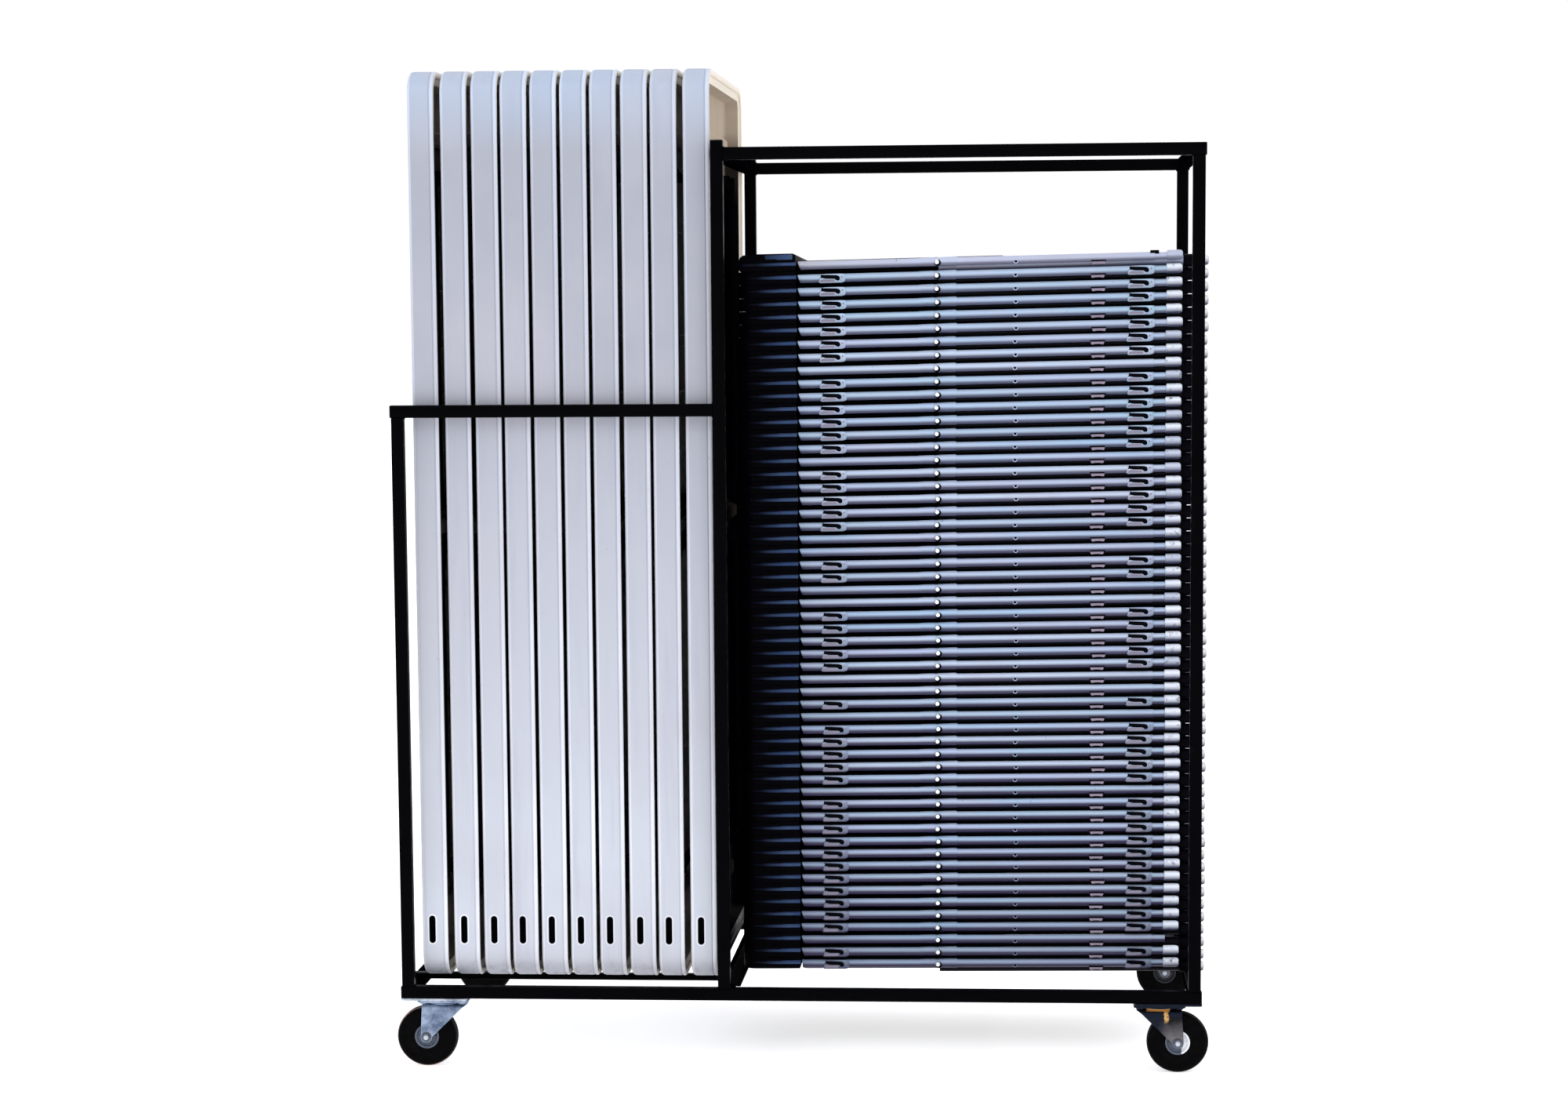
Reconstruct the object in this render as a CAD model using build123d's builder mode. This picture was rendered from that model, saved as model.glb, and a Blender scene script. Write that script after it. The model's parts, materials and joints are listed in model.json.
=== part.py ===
from build123d import *
import os
from math import asin, cos, degrees, radians, sin

# Storage trolley for folding tables and folding chairs, carrying its full load.
# Square steel tube frame on four swivel castors. The tables stand on end in the left bay
# and leave through its open left end; the chairs lie folded in the right bay and leave
# through the open right end. Millimetres.
# Origin: on the floor under the middle. +X to the chair bay, +Y to the rear, +Z up.

os.makedirs("parts", exist_ok=True)

# Square frame tube and its plastic end caps
tube = 25.0
tube_wall = 2.0
tube_bevel = 1.6
cap_flange = 2.5
cap_plug = 12.0
cap_fit = 0.2

# Frame: its length and depth follow from the load, with these clearances
table_rail_top = 1358.0
top_rail_top = 1865.0
mid_post_rise = 12.0
table_side_play = 6.5
table_end_play = 4.0
chair_overhang = 17.0

# Round pieces of the castors are drawn with this many sides
wheel_sides = 32
race_sides = 16
shaft_sides = 12
screw_sides = 6

# Castors: wheel, fork, swivel, plates and screws
wheel_diameter = 125.0
tyre_width = 32.0
tread_width = 20.0
tyre_shoulder = 7.0
hub_diameter = 50.0
hub_width = 36.0
hub_play = 1.0
tyre_bond = 0.05
axle_diameter = 10.0
axle_flats = 17.0
axle_head = 6.0
running_fit = 0.06
castor_trail = 37.0
wheel_headroom = 3.0
fork_sheet = 4.0
fork_lead = 46.0
fork_back = 45.0
fork_tip = 12.0
race_diameter = 66.0
race_height = 6.0
race_play = 0.3
kingpin_diameter = 12.0
kingpin_head_diameter = 17.0
kingpin_head = 4.0
top_plate_length = 105.0
top_plate_width = 85.0
top_plate_thickness = 4.0
mount_plate_length = 136.0
mount_plate_width = 105.0
mount_plate_thickness = 5.0
mount_plate_overhang = 3.0
castor_inset_x = 82.0
castor_inset_y = 43.0
screw_spacing_x = 80.0
screw_spacing_y = 60.0
screw_diameter = 8.0
screw_flats = 13.0
screw_nut = 3.5
screw_play = 0.2

# Bearers on the base
table_support_width = 25.0
table_support_height = 12.0
table_support_inset = 82.0
chair_rest_height = 4.8
chair_rest_reach = 20.0

# Folding tables, standing on end with the underside to the right
table_length = 1840.0
table_width = 762.0
table_thickness = 54.0
table_corner = 50.0
table_rim = 28.0
table_deck = 20.0
table_play = 0.3
table_start = 38.0
table_gaps = (12.0, 8.0, 5.0, 6.0, 6.0, 6.0, 8.0, 5.0, 12.0)
table_leg_tube = 25.0
table_leg_width = 600.0
table_leg_hinge = 195.0
table_leg_clear = 29.5
table_leg_play = 0.4
table_bar_fit = 0.1

# Folding chairs, lying folded with the back rest to the left; the pitch grows from the
# bottom of the stack, where the chairs are pressed together
chair_count = 56
chair_pitch = 25.92
chair_pitch_growth = 0.0105
chair_fan = 0.0103
chair_start = 38.0
chair_width = 480.0
chair_play = 0.3
chair_tube = 19.0
chair_tube_sides = 6
chair_back_length = 125.0
chair_length = 956.0
chair_leg_setback = 52.0
chair_leg_drop = 10.0
chair_pivot = 408.0
chair_seat_start = 130.0
chair_seat_end = 540.0
chair_seat_top = 19.0
chair_seat_fall = 5.0
chair_back_nose = 6.0
top_back_height = 36.0
chair_foot_cap = 30.0
chair_foot_wall = 0.5
chair_foot_floor = 5.0
chair_foot_fit = 0.1
chair_brace = 50.0
chair_brace_width = 22.0
chair_brace_thickness = 8.0
chair_brace_fit = 0.1

# Bays: the tables fill the left one, and the chairs stand out a little over the right end
table_count = len(table_gaps) + 1
table_row = table_count * table_thickness + sum(table_gaps)
table_bay = table_start - tube + table_row + table_end_play
base_length = tube + table_bay + chair_start + chair_length - chair_overhang
base_depth = table_width + 2 * (table_side_play + tube)

# Levels and lines of the frame
left = -base_length / 2
right = base_length / 2
front = -base_depth / 2
rear = base_depth / 2
mid = left + tube + table_bay
inner_depth = base_depth - 2 * tube
fork_bottom = wheel_diameter + wheel_headroom
fork_top = fork_bottom + fork_sheet
plate_bottom = fork_top + race_height
plate_top = plate_bottom + top_plate_thickness
base_bottom = plate_top + mount_plate_thickness
base_top = base_bottom + tube
front_line = front + tube / 2
rear_line = rear - tube / 2
base_line = base_bottom + tube / 2
table_rail_line = table_rail_top - tube / 2
top_rail_line = top_rail_top - tube / 2

# Levels within one chair, from its own underside. The bottom chair lies on its back rest
# and its inner legs, which hang lower, so it leans towards the back.
chair_radius = chair_tube / 2
chair_flat = chair_radius * cos(radians(180 / chair_tube_sides))
tube_level = chair_radius + chair_play
leg_level = tube_level - chair_leg_drop
stack_x = mid + chair_start
chair_lean = degrees(asin((chair_flat - leg_level) / (right - tube - stack_x)))


def along_x(x, y, z):
    """Sketch plane square to X: its own x runs along Y and its own y along Z."""
    return Plane(origin=(x, y, z), x_dir=(0, 1, 0), z_dir=(1, 0, 0))


def along_y(x, y, z):
    """Sketch plane square to Y: its own x runs against X and its own y along Z."""
    return Plane(origin=(x, y, z), x_dir=(-1, 0, 0), z_dir=(0, 1, 0))


def along_z(x, y, z):
    """Sketch plane square to Z, seen from above."""
    return Plane(origin=(x, y, z), z_dir=(0, 0, 1))


def save(part, name):
    part.label = name
    export_step(part, f"parts/{name}.step")


def save_tube(plane, length, name):
    """One straight run of the square frame tube, from the plane along its normal."""
    with BuildPart() as run:
        with BuildSketch(plane):
            outside = Rectangle(tube, tube)
            chamfer(outside.vertices(), tube_bevel)
            Rectangle(tube - 2 * tube_wall, tube - 2 * tube_wall, mode=Mode.SUBTRACT)
        extrude(amount=length)
    save(run.part, name)


def save_bar(plane, width, height, length, name):
    """A plain rectangular bar resting on the plane's own x axis."""
    with BuildPart() as bar:
        with BuildSketch(plane):
            Rectangle(width, height, align=(Align.CENTER, Align.MIN))
        extrude(amount=length)
    save(bar.part, name)


# Base: two long rails with three crossbars between them
for side, line in (("front", front_line), ("rear", rear_line)):
    save_tube(along_x(left, line, base_line), base_length, f"base_{side}_rail")
crossbar_lines = {"left": left + tube / 2, "mid": mid + tube / 2, "right": right - tube / 2}
for place, line in crossbar_lines.items():
    save_tube(along_y(line, front + tube, base_line), inner_depth, f"base_{place}_crossbar")

# Posts: the left pair ends under the table rails, the right pair under the top rails,
# and the middle pair runs past both to a capped end
post_tops = {
    "left": table_rail_top - tube,
    "mid": top_rail_top + mid_post_rise,
    "right": top_rail_top - tube,
}
for place, top in post_tops.items():
    for side, line in (("front", front_line), ("rear", rear_line)):
        foot = along_z(crossbar_lines[place], line, base_top)
        save_tube(foot, top - base_top, f"post_{side}_{place}")

# Rails above the base and the two crossbars of the chair bay's top
for side, line in (("front", front_line), ("rear", rear_line)):
    save_tube(along_x(left, line, table_rail_line), mid - left, f"table_rail_{side}")
    top_start = mid + tube
    save_tube(along_x(top_start, line, top_rail_line), right - top_start, f"top_rail_{side}")
for place in ("left", "right"):
    bar = along_y(crossbar_lines["mid" if place == "left" else place], front + tube, top_rail_line)
    save_tube(bar, inner_depth, f"top_crossbar_{place}")

# Plastic caps in the open tube ends
with BuildPart() as tube_end_caps:
    for line in (front_line, rear_line):
        for end in (
            Plane(origin=(left, line, base_line), x_dir=(0, 1, 0), z_dir=(-1, 0, 0)),
            along_x(right, line, base_line),
            Plane(origin=(left, line, table_rail_line), x_dir=(0, 1, 0), z_dir=(-1, 0, 0)),
            along_x(right, line, top_rail_line),
            along_z(crossbar_lines["mid"], line, post_tops["mid"]),
        ):
            with BuildSketch(end):
                flange = Rectangle(tube, tube)
                chamfer(flange.vertices(), tube_bevel)
            extrude(amount=cap_flange)
            with BuildSketch(end):
                plug = tube - 2 * tube_wall - 2 * cap_fit
                Rectangle(plug, plug)
            extrude(amount=-cap_plug)
save(tube_end_caps.part, "tube_end_caps")

# Bearers: two runners under the tables and two rests under the chairs. On the middle
# crossbar the runners take its left half and the chair rest its right half.
bearing = tube / 2
runner_line = base_depth / 2 - table_support_inset - table_support_width / 2
for side, sign in (("front", -1), ("rear", 1)):
    save_bar(
        along_x(left, sign * runner_line, base_top),
        table_support_width,
        table_support_height,
        mid + bearing - left,
        f"table_support_{side}",
    )
rest_width = bearing + chair_rest_reach
save_bar(
    along_y(mid + bearing + rest_width / 2, front + tube, base_top),
    rest_width,
    chair_rest_height,
    inner_depth,
    "chair_rest_left",
)
save_bar(
    along_y(right - tube / 2, front + tube, base_top),
    tube,
    chair_rest_height,
    inner_depth,
    "chair_rest_right",
)

# Castors: each corner's swivel axis, with the wheel trailing outwards along X
castor_x = base_length / 2 - castor_inset_x
castor_y = base_depth / 2 - castor_inset_y
corners = {
    "front_left": (-1, -1),
    "front_right": (1, -1),
    "rear_left": (-1, 1),
    "rear_right": (1, 1),
}
axle_height = wheel_diameter / 2
axle_radius = axle_diameter / 2
fork_gap = hub_width + 2 * hub_play
fork_width = fork_gap + 2 * fork_sheet
kingpin_radius = kingpin_diameter / 2
screw_radius = screw_diameter / 2

with BuildPart() as castor_mount_plates:
    for sx, sy in corners.values():
        inset_x = base_length / 2 + mount_plate_overhang - mount_plate_length / 2
        inset_y = base_depth / 2 - mount_plate_width / 2
        with BuildSketch(along_z(0, 0, plate_top)):
            with Locations((sx * inset_x, sy * inset_y)):
                Rectangle(mount_plate_length, mount_plate_width)
        extrude(amount=mount_plate_thickness)
save(castor_mount_plates.part, "castor_mount_plates")

with BuildPart() as castor_top_plates:
    for sx, sy in corners.values():
        with BuildSketch(along_z(sx * castor_x, sy * castor_y, plate_bottom)):
            Rectangle(top_plate_length, top_plate_width)
            RegularPolygon(kingpin_radius + running_fit, shaft_sides, False, mode=Mode.SUBTRACT)
            with GridLocations(screw_spacing_x, screw_spacing_y, 2, 2):
                RegularPolygon(screw_radius + screw_play, screw_sides, False, mode=Mode.SUBTRACT)
        extrude(amount=top_plate_thickness)
save(castor_top_plates.part, "castor_top_plates")

# Studs welded under the mounting plates, each with a nut below the castor's own plate
with BuildPart() as castor_studs:
    for sx, sy in corners.values():
        with BuildSketch(along_z(sx * castor_x, sy * castor_y, plate_top)):
            with GridLocations(screw_spacing_x, screw_spacing_y, 2, 2):
                RegularPolygon(screw_radius, screw_sides)
        extrude(amount=-top_plate_thickness)
        with BuildSketch(along_z(sx * castor_x, sy * castor_y, plate_bottom)):
            with GridLocations(screw_spacing_x, screw_spacing_y, 2, 2):
                RegularPolygon(screw_flats / 2, 6, False)
        extrude(amount=-screw_nut)
save(castor_studs.part, "castor_studs")

with BuildPart() as castor_kingpins:
    for sx, sy in corners.values():
        head_top = fork_bottom - race_play
        with BuildSketch(along_z(sx * castor_x, sy * castor_y, head_top)):
            RegularPolygon(kingpin_radius, shaft_sides)
        extrude(amount=plate_top - head_top)
        with BuildSketch(along_z(sx * castor_x, sy * castor_y, head_top)):
            RegularPolygon(kingpin_head_diameter / 2, shaft_sides)
        extrude(amount=-kingpin_head)
save(castor_kingpins.part, "castor_kingpins")


def save_fork(x, y, sx, name):
    """Pressed fork: flat crown under a round ball race, two tapered legs to the axle."""
    axle_x = sx * castor_trail
    with BuildPart() as fork:
        with BuildSketch(along_z(x, y, fork_bottom)):
            with Locations((sx * (fork_back - fork_lead) / 2, 0)):
                Rectangle(fork_back + fork_lead, fork_width)
        extrude(amount=fork_sheet)
        with BuildSketch(along_z(x, y, fork_top)):
            RegularPolygon(race_diameter / 2, race_sides)
        extrude(amount=race_height - race_play)
        for leg in (-1, 1):
            outer = y + leg * fork_width / 2
            with BuildSketch(Plane(origin=(x, outer, 0), x_dir=(1, 0, 0), z_dir=(0, -leg, 0))):
                flip = leg
                with BuildLine():
                    crown = Line((-sx * fork_lead, flip * fork_top), (sx * fork_back, flip * fork_top))
                    trailing = Line(crown @ 1, (axle_x + sx * fork_tip, flip * axle_height))
                    tip = ThreePointArc(
                        trailing @ 1,
                        (axle_x, flip * (axle_height - fork_tip)),
                        (axle_x - sx * fork_tip, flip * axle_height),
                    )
                    Line(tip @ 1, crown @ 0)
                make_face()
                with Locations((axle_x, flip * axle_height)):
                    RegularPolygon(axle_radius + running_fit, shaft_sides, False, mode=Mode.SUBTRACT)
            extrude(amount=fork_sheet)
        with BuildSketch(along_z(x, y, fork_bottom)):
            RegularPolygon(kingpin_radius + running_fit, shaft_sides, False)
        extrude(amount=fork_sheet + race_height, mode=Mode.SUBTRACT)
    save(fork.part, name)


def save_axle(x, y, name):
    """Axle bolt through the fork, hexagon head at the front and nut at the rear."""
    with BuildPart() as axle:
        with BuildSketch(along_y(x, y - fork_width / 2, axle_height)):
            RegularPolygon(axle_radius, shaft_sides)
        extrude(amount=fork_width)
        for side in (-1, 1):
            with BuildSketch(along_y(x, y + side * fork_width / 2, axle_height)):
                RegularPolygon(axle_flats / 2, 6, False)
            extrude(amount=side * axle_head)
    save(axle.part, name)


def save_hub(x, y, name):
    with BuildPart() as hub:
        with BuildSketch(along_y(x, y - hub_width / 2, axle_height)):
            RegularPolygon(hub_diameter / 2, wheel_sides)
            RegularPolygon(axle_radius + running_fit, shaft_sides, False, mode=Mode.SUBTRACT)
        extrude(amount=hub_width)
    save(hub.part, name)


def save_tyre(x, y, name):
    """Solid rubber tyre: a flat tread between two sloping shoulders, bonded on the hub."""
    with BuildPart() as tyre:
        with BuildSketch(along_y(x, y, axle_height)):
            RegularPolygon(wheel_diameter / 2, wheel_sides)
        extrude(amount=tyre_width / 2, both=True)
        for wall in (tyre.faces().sort_by(Axis.Y)[0], tyre.faces().sort_by(Axis.Y)[-1]):
            chamfer(wall.edges(), tyre_shoulder, (tyre_width - tread_width) / 2, reference=wall)
        with BuildSketch(along_y(x, y, axle_height)):
            RegularPolygon(hub_diameter / 2 + tyre_bond, wheel_sides)
        extrude(amount=tyre_width / 2, both=True, mode=Mode.SUBTRACT)
    save(tyre.part, name)


for corner, (sx, sy) in corners.items():
    swivel_x = sx * castor_x
    wheel_x = swivel_x + sx * castor_trail
    wheel_y = sy * castor_y
    save_fork(swivel_x, wheel_y, sx, f"castor_{corner}_fork")
    save_axle(wheel_x, wheel_y, f"castor_{corner}_axle")
    save_hub(wheel_x, wheel_y, f"castor_{corner}_hub")
    save_tyre(wheel_x, wheel_y, f"castor_{corner}_tyre")

# Tables: moulded tops with a deep rim round a recessed underside, and two folded leg
# frames lying in that recess
table_bottom = base_top + table_support_height + table_play
table_middle = table_bottom + table_length / 2
table_leg_length = table_length / 2 - table_leg_hinge - table_leg_clear
table_faces = [left + table_start]
for gap in table_gaps:
    table_faces.append(table_faces[-1] + table_thickness + gap)


def save_table_tops(faces, name):
    with BuildPart() as tops:
        for face in faces:
            with BuildSketch(along_x(face, 0, table_middle)):
                RectangleRounded(table_width, table_length, table_corner)
            extrude(amount=table_thickness)
            with BuildSketch(along_x(face + table_deck, 0, table_middle)):
                Rectangle(table_width - 2 * table_rim, table_length - 2 * table_rim)
            extrude(amount=table_thickness - table_deck, mode=Mode.SUBTRACT)
    save(tops.part, name)


def save_table_legs(faces, name):
    """Folded leg frames: two long tubes with a foot bar and a hinge bar between them."""
    frame_middle = table_length / 2 - table_leg_hinge - table_leg_length / 2
    tube_line = (table_leg_width - table_leg_tube) / 2
    bar_line = (table_leg_length - table_leg_tube) / 2
    with BuildPart() as legs:
        for face in faces:
            with BuildSketch(along_x(face + table_deck + table_leg_play, 0, table_middle)):
                with Locations((0, -frame_middle), (0, frame_middle)):
                    with Locations((-tube_line, 0), (tube_line, 0)):
                        Rectangle(table_leg_tube, table_leg_length)
            extrude(amount=table_leg_tube)
            with BuildSketch(along_x(face + table_deck + table_leg_play, 0, table_middle)):
                with Locations((0, -frame_middle), (0, frame_middle)):
                    with Locations((0, -bar_line), (0, bar_line)):
                        Rectangle(table_leg_width - 2 * table_leg_tube - 2 * table_bar_fit, table_leg_tube)
            extrude(amount=table_leg_tube)
    save(legs.part, name)


table_groups = {
    "table_first": table_faces[:1],
    "tables_middle": table_faces[1:-1],
    "table_last": table_faces[-1:],
}
for group, faces in table_groups.items():
    save_table_tops(faces, f"{group}_tops" if len(faces) > 1 else f"{group}_top")
    save_table_legs(faces, f"{group}_legs")

# Chairs: each lies on the one below, a little steeper, because the stack fans open
# towards the feet
stack_bottom = base_top + chair_rest_height + chair_play
chair_thickness = chair_pitch - chair_play
chair_seat_drop = chair_thickness - chair_seat_top
outer_line = chair_width / 2 - chair_radius
leg_gap = chair_foot_fit + chair_foot_wall + chair_play
inner_line = outer_line - chair_tube - leg_gap
seat_width = 2 * (inner_line - chair_radius - chair_play)
chair_leg_end = chair_length - chair_leg_setback
lower_chairs = range(chair_count - 1)
top_chair = chair_count - 1


def chair_side(index):
    """Side view of one chair: its own x runs from back rest to feet, its own y upwards."""
    tilt = radians(chair_lean + index * chair_fan)
    height = index * chair_pitch + index**2 * chair_pitch_growth / 2
    return Plane(
        origin=(stack_x, 0, stack_bottom + height),
        x_dir=(cos(tilt), 0, sin(tilt)),
        z_dir=(0, -1, 0),
    )


def chair_section(index, along, across, level):
    """Plane square to a chair's tubes, at a place along them, across the chair and up."""
    side = chair_side(index)
    return Plane(
        origin=side.from_local_coords((along, level, -across)),
        x_dir=(0, 1, 0),
        z_dir=side.x_dir,
    )


def save_lower_tubes(start, end, across, level, name):
    """One six-sided tube per lower chair, the same tube of each chair in the stack."""
    with BuildPart() as tubes:
        sections = [chair_section(index, start, across, level) for index in lower_chairs]
        with BuildSketch(*sections):
            RegularPolygon(chair_radius, chair_tube_sides)
        extrude(amount=end - start)
    save(tubes.part, name)


def back_outline(height):
    """Back rest from the side: a blunt top edge and a flat foot on the tubes."""
    return (
        (0, chair_back_nose),
        (chair_back_nose, 0),
        (chair_back_length, 0),
        (chair_back_length, height - chair_back_nose),
        (chair_back_length / 2, height),
        (0, height - chair_back_nose),
    )


# Seat from the side: folded up under the back rest, falling away to its front edge. It
# hangs below the tubes into the dish of the seat below.
seat_outline = (
    (chair_seat_start, chair_seat_top),
    (chair_seat_start, -chair_seat_drop),
    (chair_seat_end, -chair_seat_drop),
    (chair_seat_end, chair_seat_top - chair_seat_fall),
)

# Flat brace between the inner legs, near their feet, from the side
brace_end = chair_length - chair_foot_cap - chair_brace
brace_outline = (
    (brace_end - chair_brace_width, leg_level - chair_brace_thickness / 2),
    (brace_end, leg_level - chair_brace_thickness / 2),
    (brace_end, leg_level + chair_brace_thickness / 2),
    (brace_end - chair_brace_width, leg_level + chair_brace_thickness / 2),
)


def save_panels(indices, outline, width, name):
    """The same moulded panel of each chair, drawn from the side and carried across."""
    with BuildPart() as panels:
        with BuildSketch(*[chair_side(index) for index in indices]):
            with BuildLine():
                Polyline(*outline, close=True)
            make_face()
        extrude(amount=width / 2, both=True)
    save(panels.part, name)


chair_tube_start = chair_back_length + chair_play
for side, sign in (("front", -1), ("rear", 1)):
    save_lower_tubes(
        chair_tube_start, chair_leg_end, sign * outer_line, tube_level, f"chair_{side}_side_tubes"
    )
    save_lower_tubes(
        chair_pivot, chair_length, sign * inner_line, leg_level, f"chair_{side}_inner_legs"
    )
brace_length = 2 * (inner_line - chair_radius - chair_brace_fit)
save_panels(lower_chairs, brace_outline, brace_length, "chair_leg_braces")
save_panels(lower_chairs, seat_outline, seat_width, "chair_seats")
save_panels(lower_chairs, back_outline(chair_thickness), chair_width, "chair_backs")

# Top chair, which slides off the stack first; its back rest shows its whole height, while
# each one below is covered in part by the next
save_panels([top_chair], seat_outline, seat_width, "top_chair_seat")
save_panels([top_chair], back_outline(top_back_height), chair_width, "top_chair_back")

with BuildPart() as top_chair_side_tubes:
    for sign in (-1, 1):
        with BuildSketch(chair_section(top_chair, chair_tube_start, sign * outer_line, tube_level)):
            RegularPolygon(chair_radius, chair_tube_sides)
        extrude(amount=chair_leg_end - chair_foot_floor - chair_tube_start)
save(top_chair_side_tubes.part, "top_chair_side_tubes")

with BuildPart() as top_chair_inner_legs:
    for sign in (-1, 1):
        with BuildSketch(chair_section(top_chair, chair_pivot, sign * inner_line, leg_level)):
            RegularPolygon(chair_radius, chair_tube_sides)
        extrude(amount=chair_length - chair_foot_floor - chair_pivot)
    with BuildSketch(chair_side(top_chair)):
        with BuildLine():
            Polyline(*brace_outline, close=True)
        make_face()
    extrude(amount=inner_line, both=True)
save(top_chair_inner_legs.part, "top_chair_inner_legs")

with BuildPart() as top_chair_foot_caps:
    feet = ((chair_leg_end, outer_line, tube_level), (chair_length, inner_line, leg_level))
    for end, line, level in feet:
        for sign in (-1, 1):
            with BuildSketch(chair_section(top_chair, end, sign * line, level)):
                RegularPolygon(chair_radius + chair_foot_fit + chair_foot_wall, chair_tube_sides)
            extrude(amount=-chair_foot_cap)
            with BuildSketch(chair_section(top_chair, end - chair_foot_floor, sign * line, level)):
                RegularPolygon(chair_radius + chair_foot_fit, chair_tube_sides)
            extrude(amount=chair_foot_floor - chair_foot_cap, mode=Mode.SUBTRACT)
save(top_chair_foot_caps.part, "top_chair_foot_caps")
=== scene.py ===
import json
import random
from itertools import product
from math import asin, copysign, cos, pi, radians, sin, sqrt

import bmesh
import bpy
from mathutils import Matrix, Vector

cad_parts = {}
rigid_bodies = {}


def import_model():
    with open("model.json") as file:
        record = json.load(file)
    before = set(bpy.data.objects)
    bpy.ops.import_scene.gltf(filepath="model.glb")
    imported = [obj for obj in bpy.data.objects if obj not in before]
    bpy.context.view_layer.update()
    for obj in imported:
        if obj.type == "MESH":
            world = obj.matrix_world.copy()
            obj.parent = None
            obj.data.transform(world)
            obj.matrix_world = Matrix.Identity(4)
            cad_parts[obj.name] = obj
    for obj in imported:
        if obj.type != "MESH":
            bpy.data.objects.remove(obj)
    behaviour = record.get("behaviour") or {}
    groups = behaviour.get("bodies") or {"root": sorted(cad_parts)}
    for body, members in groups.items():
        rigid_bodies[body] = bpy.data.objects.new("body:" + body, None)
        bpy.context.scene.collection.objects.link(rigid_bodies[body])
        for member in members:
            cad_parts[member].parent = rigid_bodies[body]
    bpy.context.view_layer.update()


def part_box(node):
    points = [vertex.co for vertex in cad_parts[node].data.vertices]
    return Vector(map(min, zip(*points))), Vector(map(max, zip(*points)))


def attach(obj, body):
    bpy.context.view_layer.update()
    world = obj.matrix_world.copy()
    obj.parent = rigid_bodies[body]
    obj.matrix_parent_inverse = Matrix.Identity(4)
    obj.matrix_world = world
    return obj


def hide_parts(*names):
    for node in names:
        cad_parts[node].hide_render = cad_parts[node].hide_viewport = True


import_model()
scene = bpy.context.scene

# Forms are in millimetres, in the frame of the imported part; finishes are laid out in metres
MM = 0.001
SHARP_ANGLE, EASE_ANGLE = 32, 50
BOTH_SIDES = (-1, 1)
chance = random.Random(7)


def new_object(name, data):
    obj = bpy.data.objects.new(name, data)
    scene.collection.objects.link(obj)
    return obj


class Shape:
    """Vertices and faces in millimetres, gathered into one mesh with several materials."""

    def __init__(self):
        self.verts, self.faces, self.paint = [], [], []

    def add(self, part, place=None, paint=0):
        """Add a form at a place; paint is the index of its finish, or a list with one per face."""
        verts, faces = part
        first = len(self.verts)
        if place is not None:
            verts = [place @ Vector(v) for v in verts]
        self.verts.extend(tuple(v) for v in verts)
        self.faces.extend(tuple(first + i for i in f) for f in faces)
        self.paint.extend(paint if isinstance(paint, list) else [paint] * len(faces))
        return self

    def built(self, name, finishes):
        """Object with the welded mesh, smooth but for its sharp edges."""
        mesh = bpy.data.meshes.new(name)
        mesh.from_pydata([[c * MM for c in v] for v in self.verts], [], self.faces)
        for finish in finishes:
            mesh.materials.append(finish)
        mesh.polygons.foreach_set("material_index", self.paint)
        bm = bmesh.new()
        bm.from_mesh(mesh)
        bmesh.ops.remove_doubles(bm, verts=bm.verts, dist=1e-6)
        bmesh.ops.recalc_face_normals(bm, faces=bm.faces)
        bm.to_mesh(mesh)
        bm.free()
        mesh.shade_smooth()
        mesh.set_sharp_from_angle(angle=radians(SHARP_ANGLE))
        return new_object(name, mesh)


def piece(name, shape, finishes, body, slot, *nodes):
    obj = shape.built(name, finishes)
    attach(obj, body)
    if nodes:
        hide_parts(*nodes)


def box_mm(node):
    low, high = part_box(node)
    return [c / MM for c in low], [c / MM for c in high]


def middle(low, high):
    return [(a + b) / 2 for a, b in zip(low, high)]


def loft(rings, capped=True):
    """Quads between closed rings of equally many points."""
    n, last = len(rings[0]), len(rings) - 1
    faces = []
    for k in range(0, last * n, n):
        for i in range(n):
            j = (i + 1) % n
            faces.append((k + i, k + j, k + n + j, k + n + i))
    if capped:
        faces += [tuple(reversed(range(n))), tuple(range(last * n, last * n + n))]
    return [p for ring in rings for p in ring], faces


def circle(radius, sides):
    turns = [2 * pi * k / sides for k in range(sides)]
    return [(radius * cos(a), radius * sin(a)) for a in turns]


def rounded(width, height, radius, steps):
    """Corner-rounded rectangle, as points in a plane."""
    points = []
    for sx, sy, start in ((1, 1, 0), (-1, 1, 90), (-1, -1, 180), (1, -1, 270)):
        for k in range(steps + 1):
            a = radians(start + 90 * k / steps)
            points.append((
                sx * (width / 2 - radius) + radius * cos(a),
                sy * (height / 2 - radius) + radius * sin(a),
            ))
    return points


def lathe(profile, sides, hole=False):
    """Turned form along its own X, from (along, radius) points; with a hole the ends meet."""
    rings = [[(along, p, q) for p, q in circle(radius, sides)] for along, radius in profile]
    if hole:
        rings.append(rings[0])
    return loft(rings, not hole)


def slab(steps, width, height, radius, least, turns):
    """Round-cornered slab along its own X, from (along, inset) steps."""
    rings = []
    for along, inset in steps:
        section = rounded(width - 2 * inset, height - 2 * inset, max(radius - inset, least), turns)
        rings.append([(along, p, q) for p, q in section])
    return loft(rings)


def hexagon(flats, start, end):
    """Hexagon nut or head along its own X, its outer corners turned off."""
    corner = flats / sqrt(3)
    shoulder = end - 0.12 * (end - start) - 0.6
    return lathe([(start, corner), (shoulder, corner), (end, 0.88 * corner)], 6)


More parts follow.
